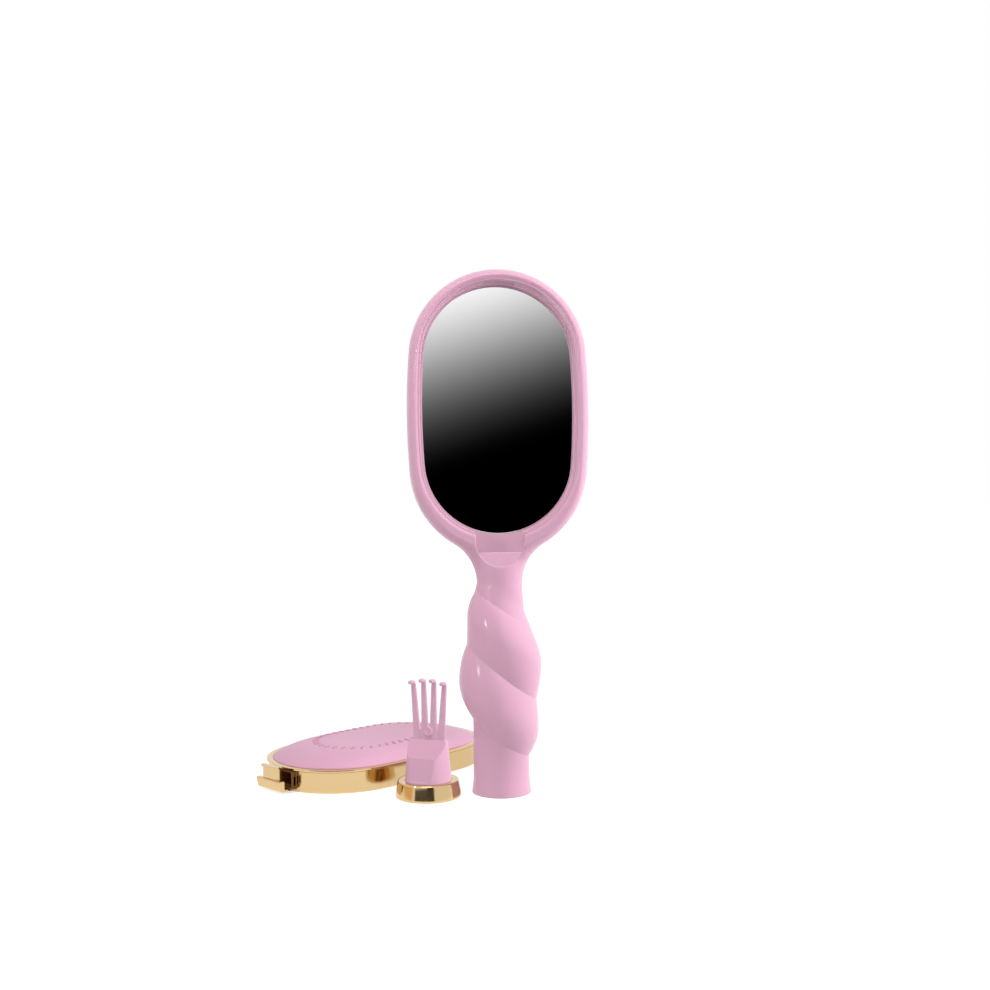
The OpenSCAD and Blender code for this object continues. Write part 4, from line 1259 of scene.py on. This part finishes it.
def node(tree, kind, links=(), **settings):
    """Adds a node. links are (its input, another node's output); settings starting with in_ set its inputs."""
    made = tree.nodes.new(kind)
    for key, value in settings.items():
        if key.startswith("in_"):
            name = key[3:].replace("_", " ")
            made.inputs[int(name) if name.isdigit() else name].default_value = value
        else:
            setattr(made, key, value)
    for socket, source in links:
        tree.links.new(source, made.inputs[socket])
    return made


def empty_tree(owner):
    """The node tree of a material or world, with nothing in it."""
    owner.use_nodes = True
    owner.node_tree.nodes.clear()
    return owner.node_tree


def shade(colour, by=1):
    """A colour made darker or lighter, with its alpha."""
    return [min(1, c * by) for c in colour] + [1]


def new_finish(name, **settings):
    """A finish with its nodes, shader and place on the object, or only the finish if it is there already."""
    found = bpy.data.materials.get(name)
    if found:
        return found, None, None, None
    finish = bpy.data.materials.new(name)
    tree = empty_tree(finish)
    shader = node(tree, "ShaderNodeBsdfPrincipled", **settings)
    node(tree, "ShaderNodeOutputMaterial", [("Surface", shader.outputs[0])])
    return finish, tree, shader, node(tree, "ShaderNodeTexCoord").outputs["Object"]


def clouded(tree, at, scale, detail, dark, light):
    """A colour that drifts between two in soft patches."""
    cloud = node(tree, "ShaderNodeTexNoise", [("Vector", at)], in_Scale=scale, in_Detail=detail)
    share = [("Factor", cloud.outputs["Fac"])]
    tint = node(tree, "ShaderNodeMix", share, data_type="RGBA", in_A=dark, in_B=light)
    return tint.outputs["Result"]


def hazed(tree, shader, at, scale, detail, low, high):
    """Lets the roughness drift between two values in soft patches."""
    haze = node(tree, "ShaderNodeTexNoise", [("Vector", at)], in_Scale=scale, in_Detail=detail)
    gloss = node(tree, "ShaderNodeMapRange", [("Value", haze.outputs["Fac"])], in_To_Min=low, in_To_Max=high)
    tree.links.new(gloss.outputs["Result"], shader.inputs["Roughness"])


def waved(tree, shader, at, scale, detail, strength, depth):
    """Lets the surface rise and fall. depth is in metres."""
    wave = node(tree, "ShaderNodeTexNoise", [("Vector", at)], in_Scale=scale, in_Detail=detail)
    height = [("Height", wave.outputs["Fac"])]
    bump = node(tree, "ShaderNodeBump", height, in_Strength=strength, in_Distance=depth)
    tree.links.new(bump.outputs["Normal"], shader.inputs["Normal"])


def moulded_plastic(name, pink, roughness, gloss_level=0.12):
    """Injection-moulded ABS from a polished mould: a clear gloss over an even colour, with the faint waves
    that a thick wall leaves as it cools and a slight clouding of the gloss from handling."""
    finish, tree, shader, at = new_finish(name, in_IOR=1.53, in_Specular_IOR_Level=gloss_level)
    if tree is None:
        return finish
    tint = clouded(tree, at, 40, 2, shade(pink, 0.975), shade(pink, 1.02))  # 25 mm patches
    # Between the walls of a recess the light bounces paler than the plastic, so that its pink doesn't build up
    path = node(tree, "ShaderNodeLightPath")
    bounced = node(
        tree, "ShaderNodeMix", [("Factor", path.outputs["Is Diffuse Ray"]), ("A", tint)],
        data_type="RGBA", in_B=[sum(pink) / 3] * 3 + [1],
    )
    tree.links.new(bounced.outputs["Result"], shader.inputs["Base Color"])
    hazed(tree, shader, at, 120, 4, roughness - 0.03, roughness + 0.05)  # 8 mm smudges
    waved(tree, shader, at, 160, 1, 0.06, 0.0004)  # 6 mm sink waves
    return finish


def plated_brass(name, gold):
    """Polished brass with a thin light gold plating: bright and mirror-like, a little uneven from buffing."""
    finish, tree, shader, at = new_finish(name, in_Base_Color=shade(gold), in_Metallic=1)
    if tree is None:
        return finish
    hazed(tree, shader, at, 300, 3, 0.07, 0.16)  # buffing marks, drawn 3 mm wide so that they show
    waved(tree, shader, at, 110, 1, 0.08, 0.0006)  # 9 mm waves
    return finish


def silvered_glass(name, silver):
    """Back-silvered float glass: a clean mirror image, slightly softened by dust in fine specks."""
    finish, tree, shader, at = new_finish(name, in_Base_Color=shade(silver), in_Metallic=1)
    if tree is None:
        return finish
    hazed(tree, shader, at, 500, 2, 0.0, 0.02)  # dust, drawn in 2 mm patches so that it shows
    return finish


def soft_rubber(name, pink):
    """Soft cast rubber: a dull skin with a fine grain that spreads the light."""
    finish, tree, shader, at = new_finish(name, in_Roughness=0.55)
    if tree is None:
        return finish
    tint = clouded(tree, at, 90, 3, shade(pink, 0.95), shade(pink, 1.03))  # 11 mm patches
    tree.links.new(tint, shader.inputs["Base Color"])
    waved(tree, shader, at, 1600, 2, 0.15, 0.0002)  # grain, drawn at 0.6 mm so that it shows
    return finish


def nylon(name, pale):
    """Drawn nylon with dipped ball tips: pale, slightly clear strands with a soft sheen."""
    finish, tree, shader, at = new_finish(name, in_Roughness=0.32, in_IOR=1.53)
    if tree is None:
        return finish
    along = node(tree, "ShaderNodeSeparateXYZ", [("Vector", at)])
    # Paler from 10 mm behind the handle's middle, at the cushion, to 26 mm, at the tips
    up = node(tree, "ShaderNodeMapRange", [("Value", along.outputs["Y"])], in_From_Min=0.010, in_From_Max=0.026)
    tint = node(
        tree, "ShaderNodeMix", [("Factor", up.outputs["Result"])],
        data_type="RGBA", in_A=shade(pale, 0.9), in_B=shade(pale),
    )
    tree.links.new(tint.outputs["Result"], shader.inputs["Base Color"])
    return finish


def foam_tape(name, white):
    """Closed-cell foam tape: dull, off-white, with small cells."""
    finish, tree, shader, at = new_finish(name, in_Base_Color=shade(white), in_Roughness=0.85)
    if tree is None:
        return finish
    cells = node(tree, "ShaderNodeTexVoronoi", [("Vector", at)], in_Scale=2000)  # 0.5 mm cells
    height = [("Height", cells.outputs["Distance"])]
    bump = node(tree, "ShaderNodeBump", height, in_Strength=0.3, in_Distance=0.0002)
    tree.links.new(bump.outputs["Normal"], shader.inputs["Normal"])
    return finish


def dress(name, finish):
    """Gives a CAD node that stays its finish."""
    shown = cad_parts[name]
    if not shown.data.materials:
        shown.data.materials.append(finish)
    for slot in shown.material_slots:
        slot.material = finish


# Studio


def set_piece(name, bm, finish):
    """Adds a piece of the studio."""
    mesh = bpy.data.meshes.new(name)
    bm.to_mesh(mesh)
    bm.free()
    mesh.materials.append(finish)
    piece = bpy.data.objects.new(name, mesh)
    bpy.context.scene.collection.objects.link(piece)
    return piece


def card(name, left, right, low, high, strength, gradient=None, tint="#FFFFFF"):
    """An upright glowing card that only reflections see, from left to right in (x, y) and from low to high."""
    finish = bpy.data.materials.new(name)
    tree = empty_tree(finish)
    glow = node(tree, "ShaderNodeEmission", in_Strength=strength, in_Color=linear(tint) + [1])
    node(tree, "ShaderNodeOutputMaterial", [("Surface", glow.outputs[0])])
    if gradient:
        gradient(tree, glow)
    corners = ((*left, low), (*right, low), (*right, high), (*left, high))
    bm = bmesh.new()
    bm.faces.new([bm.verts.new([c * 0.001 for c in p]) for p in corners])
    piece = set_piece(name, bm, finish)
    piece.visible_camera = piece.visible_diffuse = piece.visible_shadow = False
    piece.visible_transmission = False


def mirror_fade(tree, glow):
    """White at the upper left of the mirror, black over its lower half."""
    at = node(tree, "ShaderNodeTexCoord").outputs["Object"]
    split = node(tree, "ShaderNodeSeparateXYZ", [("Vector", at)])
    side = node(tree, "ShaderNodeMath", [(0, split.outputs["X"])], operation="MULTIPLY", in_1=-0.328)
    slope = node(tree, "ShaderNodeMath", [(0, split.outputs["Z"]), (1, side.outputs[0])], operation="ADD")
    share = node(
        tree, "ShaderNodeMapRange", [("Value", slope.outputs[0])], interpolation_type="SMOOTHSTEP",
        in_From_Min=0.143, in_From_Max=0.438, in_To_Max=1.25,
    )
    curve = node(tree, "ShaderNodeMath", [(0, share.outputs["Result"])], operation="POWER", in_1=2)
    tree.links.new(curve.outputs[0], glow.inputs["Strength"])


def seen_directly(tree):
    """1 for what the camera, a reflection or clear glass sees, 0 for light that falls on the object."""
    path = node(tree, "ShaderNodeLightPath")
    seen = path.outputs["Is Camera Ray"]
    for ray in ("Is Glossy Ray", "Is Transmission Ray"):
        seen = node(tree, "ShaderNodeMath", [(0, seen), (1, path.outputs[ray])], operation="MAXIMUM").outputs[0]
    return seen


def lamp(name, place, target, size, power):
    """A white softbox that faces a target. Places and size are in millimetres, the power in watts."""
    data = bpy.data.lights.new(name, "AREA")
    data.shape, data.energy = "RECTANGLE", power
    data.size, data.size_y = size[0] * 0.001, size[1] * 0.001
    lit = bpy.data.objects.new(name, data)
    bpy.context.scene.collection.objects.link(lit)
    lit.location = Vector(place) * 0.001
    lit.rotation_euler = (Vector(target) - Vector(place)).to_track_quat("-Z", "Y").to_euler()
    return lit


class BRUSH_OT_studio(bpy.types.Operator):
    """Builds the white studio: floor, lamps, reflection cards, world and camera"""

    bl_idname = "brush.studio"
    bl_label = "Studio"

    def execute(self, context):
        scene = context.scene
        scene.view_settings.view_transform = "Standard"

        # The floor is darker under the brush, so that it keeps the shadow, and white from 0.9 m away
        paper = bpy.data.materials.new("seamless_paper")
        tree = empty_tree(paper)
        matt = node(tree, "ShaderNodeBsdfDiffuse", in_Color=shade(scene.brush_finish.floor))
        at = node(tree, "ShaderNodeTexCoord").outputs["Object"]
        away = node(tree, "ShaderNodeVectorMath", [(0, at)], operation="LENGTH")
        far = node(
            tree, "ShaderNodeMapRange", [("Value", away.outputs["Value"])],
            in_From_Min=0.25, in_From_Max=0.9, in_To_Min=0.54, in_To_Max=1.0,
        )
        shown = [(0, far.outputs["Result"]), (1, seen_directly(tree))]
        seen = node(tree, "ShaderNodeMath", shown, operation="MULTIPLY")
        glow = node(tree, "ShaderNodeEmission", [("Strength", seen.outputs[0])])
        both = node(tree, "ShaderNodeAddShader", [(0, matt.outputs[0]), (1, glow.outputs[0])])
        node(tree, "ShaderNodeOutputMaterial", [("Surface", both.outputs[0])])
        bm = bmesh.new()
        bmesh.ops.create_grid(bm, x_segments=4, y_segments=4, size=6)
        set_piece("studio_floor", bm, paper)

        # The world is seen white and lights the brush with less
        scene.world = bpy.data.worlds.new("studio")
        tree = empty_tree(scene.world)
        level = node(tree, "ShaderNodeMapRange", [("Value", seen_directly(tree))], in_To_Min=0.42, in_To_Max=1)
        sky = node(tree, "ShaderNodeBackground", [("Strength", level.outputs["Result"])], in_Color=(1, 1, 1, 1))
        node(tree, "ShaderNodeOutputWorld", [("Surface", sky.outputs[0])])

        key = lamp("key_softbox", (876, -50, 320), (0, 0, 110), (500, 700), 6.9)
        key.data.use_shadow = key.visible_glossy = False
        lamp("top_softbox", (-60, -200, 560), (0, 0, 150), (300, 200), 0.9)
        lamp("left_window", (-420, -300, 250), (0, 0, 90), (24, 60), 0.42)

        card("mirror_card", (-120, -900), (260, -900), 0, 460, 1.0, mirror_fade)
        card("dark_front", (-500, -420), (120, -420), 2, 72, 0.06)  # dark streaks in the plating
        card("left_glint", (-430, -286), (-410, -314), 228, 292, 45)  # small bright glints on the left
        card("amber_side", (-420, 140), (-420, -240), 0, 75, 1.0, tint="#F3CC91")  # warms the plating's left

        camera = bpy.data.cameras.new("camera")
        camera.sensor_width, camera.lens = 36, 36 * 1150 / 990  # a focal length of 1150 pixels of the picture
        camera.clip_start, camera.clip_end = 0.01, 50
        eye = bpy.data.objects.new("camera", camera)
        scene.collection.objects.link(eye)
        yaw, roll = math.radians(3.6), math.radians(0.6)
        ahead = Vector((math.sin(yaw), math.cos(yaw), 0))
        right = Vector((math.cos(yaw), -math.sin(yaw), 0))
        up = Vector((0, 0, 1))
        x, y = right * math.cos(roll) - up * math.sin(roll), up * math.cos(roll) + right * math.sin(roll)
        place = Matrix.Translation((-0.0342, -0.5176, 0.1336))
        eye.matrix_world = place @ Matrix((x, y, -ahead)).transposed().to_4x4()
        scene.camera = eye
        return {"FINISHED"}


class BRUSH_PT_panel(bpy.types.Panel):
    """Sizes and colours of the brush and the steps that build it"""

    bl_label = "Detangling brush"
    bl_idname = "BRUSH_PT_panel"
    bl_space_type = "VIEW_3D"
    bl_region_type = "UI"
    bl_category = "Brush"

    def draw(self, context):
        for step in STEPS:
            self.layout.operator(step.bl_idname)
        for name, group in GROUPS:
            box = self.layout.box()
            for key in group.__annotations__:
                box.prop(getattr(context.scene, name), key)


STEPS = (
    BRUSH_OT_handle, BRUSH_OT_mirror, BRUSH_OT_cushion, BRUSH_OT_cover, BRUSH_OT_clip, BRUSH_OT_rake,
    BRUSH_OT_studio,
)


def register():
    for name, group in GROUPS:
        bpy.utils.register_class(group)
        setattr(bpy.types.Scene, name, bpy.props.PointerProperty(type=group))
    for item in STEPS + (BRUSH_PT_panel,):
        bpy.utils.register_class(item)


def unregister():
    for item in (BRUSH_PT_panel,) + tuple(reversed(STEPS)):
        bpy.utils.unregister_class(item)
    for name, group in reversed(GROUPS):
        delattr(bpy.types.Scene, name)
        bpy.utils.unregister_class(group)


def main():
    register()
    bpy.ops.brush.handle()
    bpy.ops.brush.mirror()
    bpy.ops.brush.cushion()
    bpy.ops.brush.cover()
    bpy.ops.brush.clip()
    bpy.ops.brush.rake()
    bpy.ops.brush.studio()


if __name__ == "__main__":
    main()
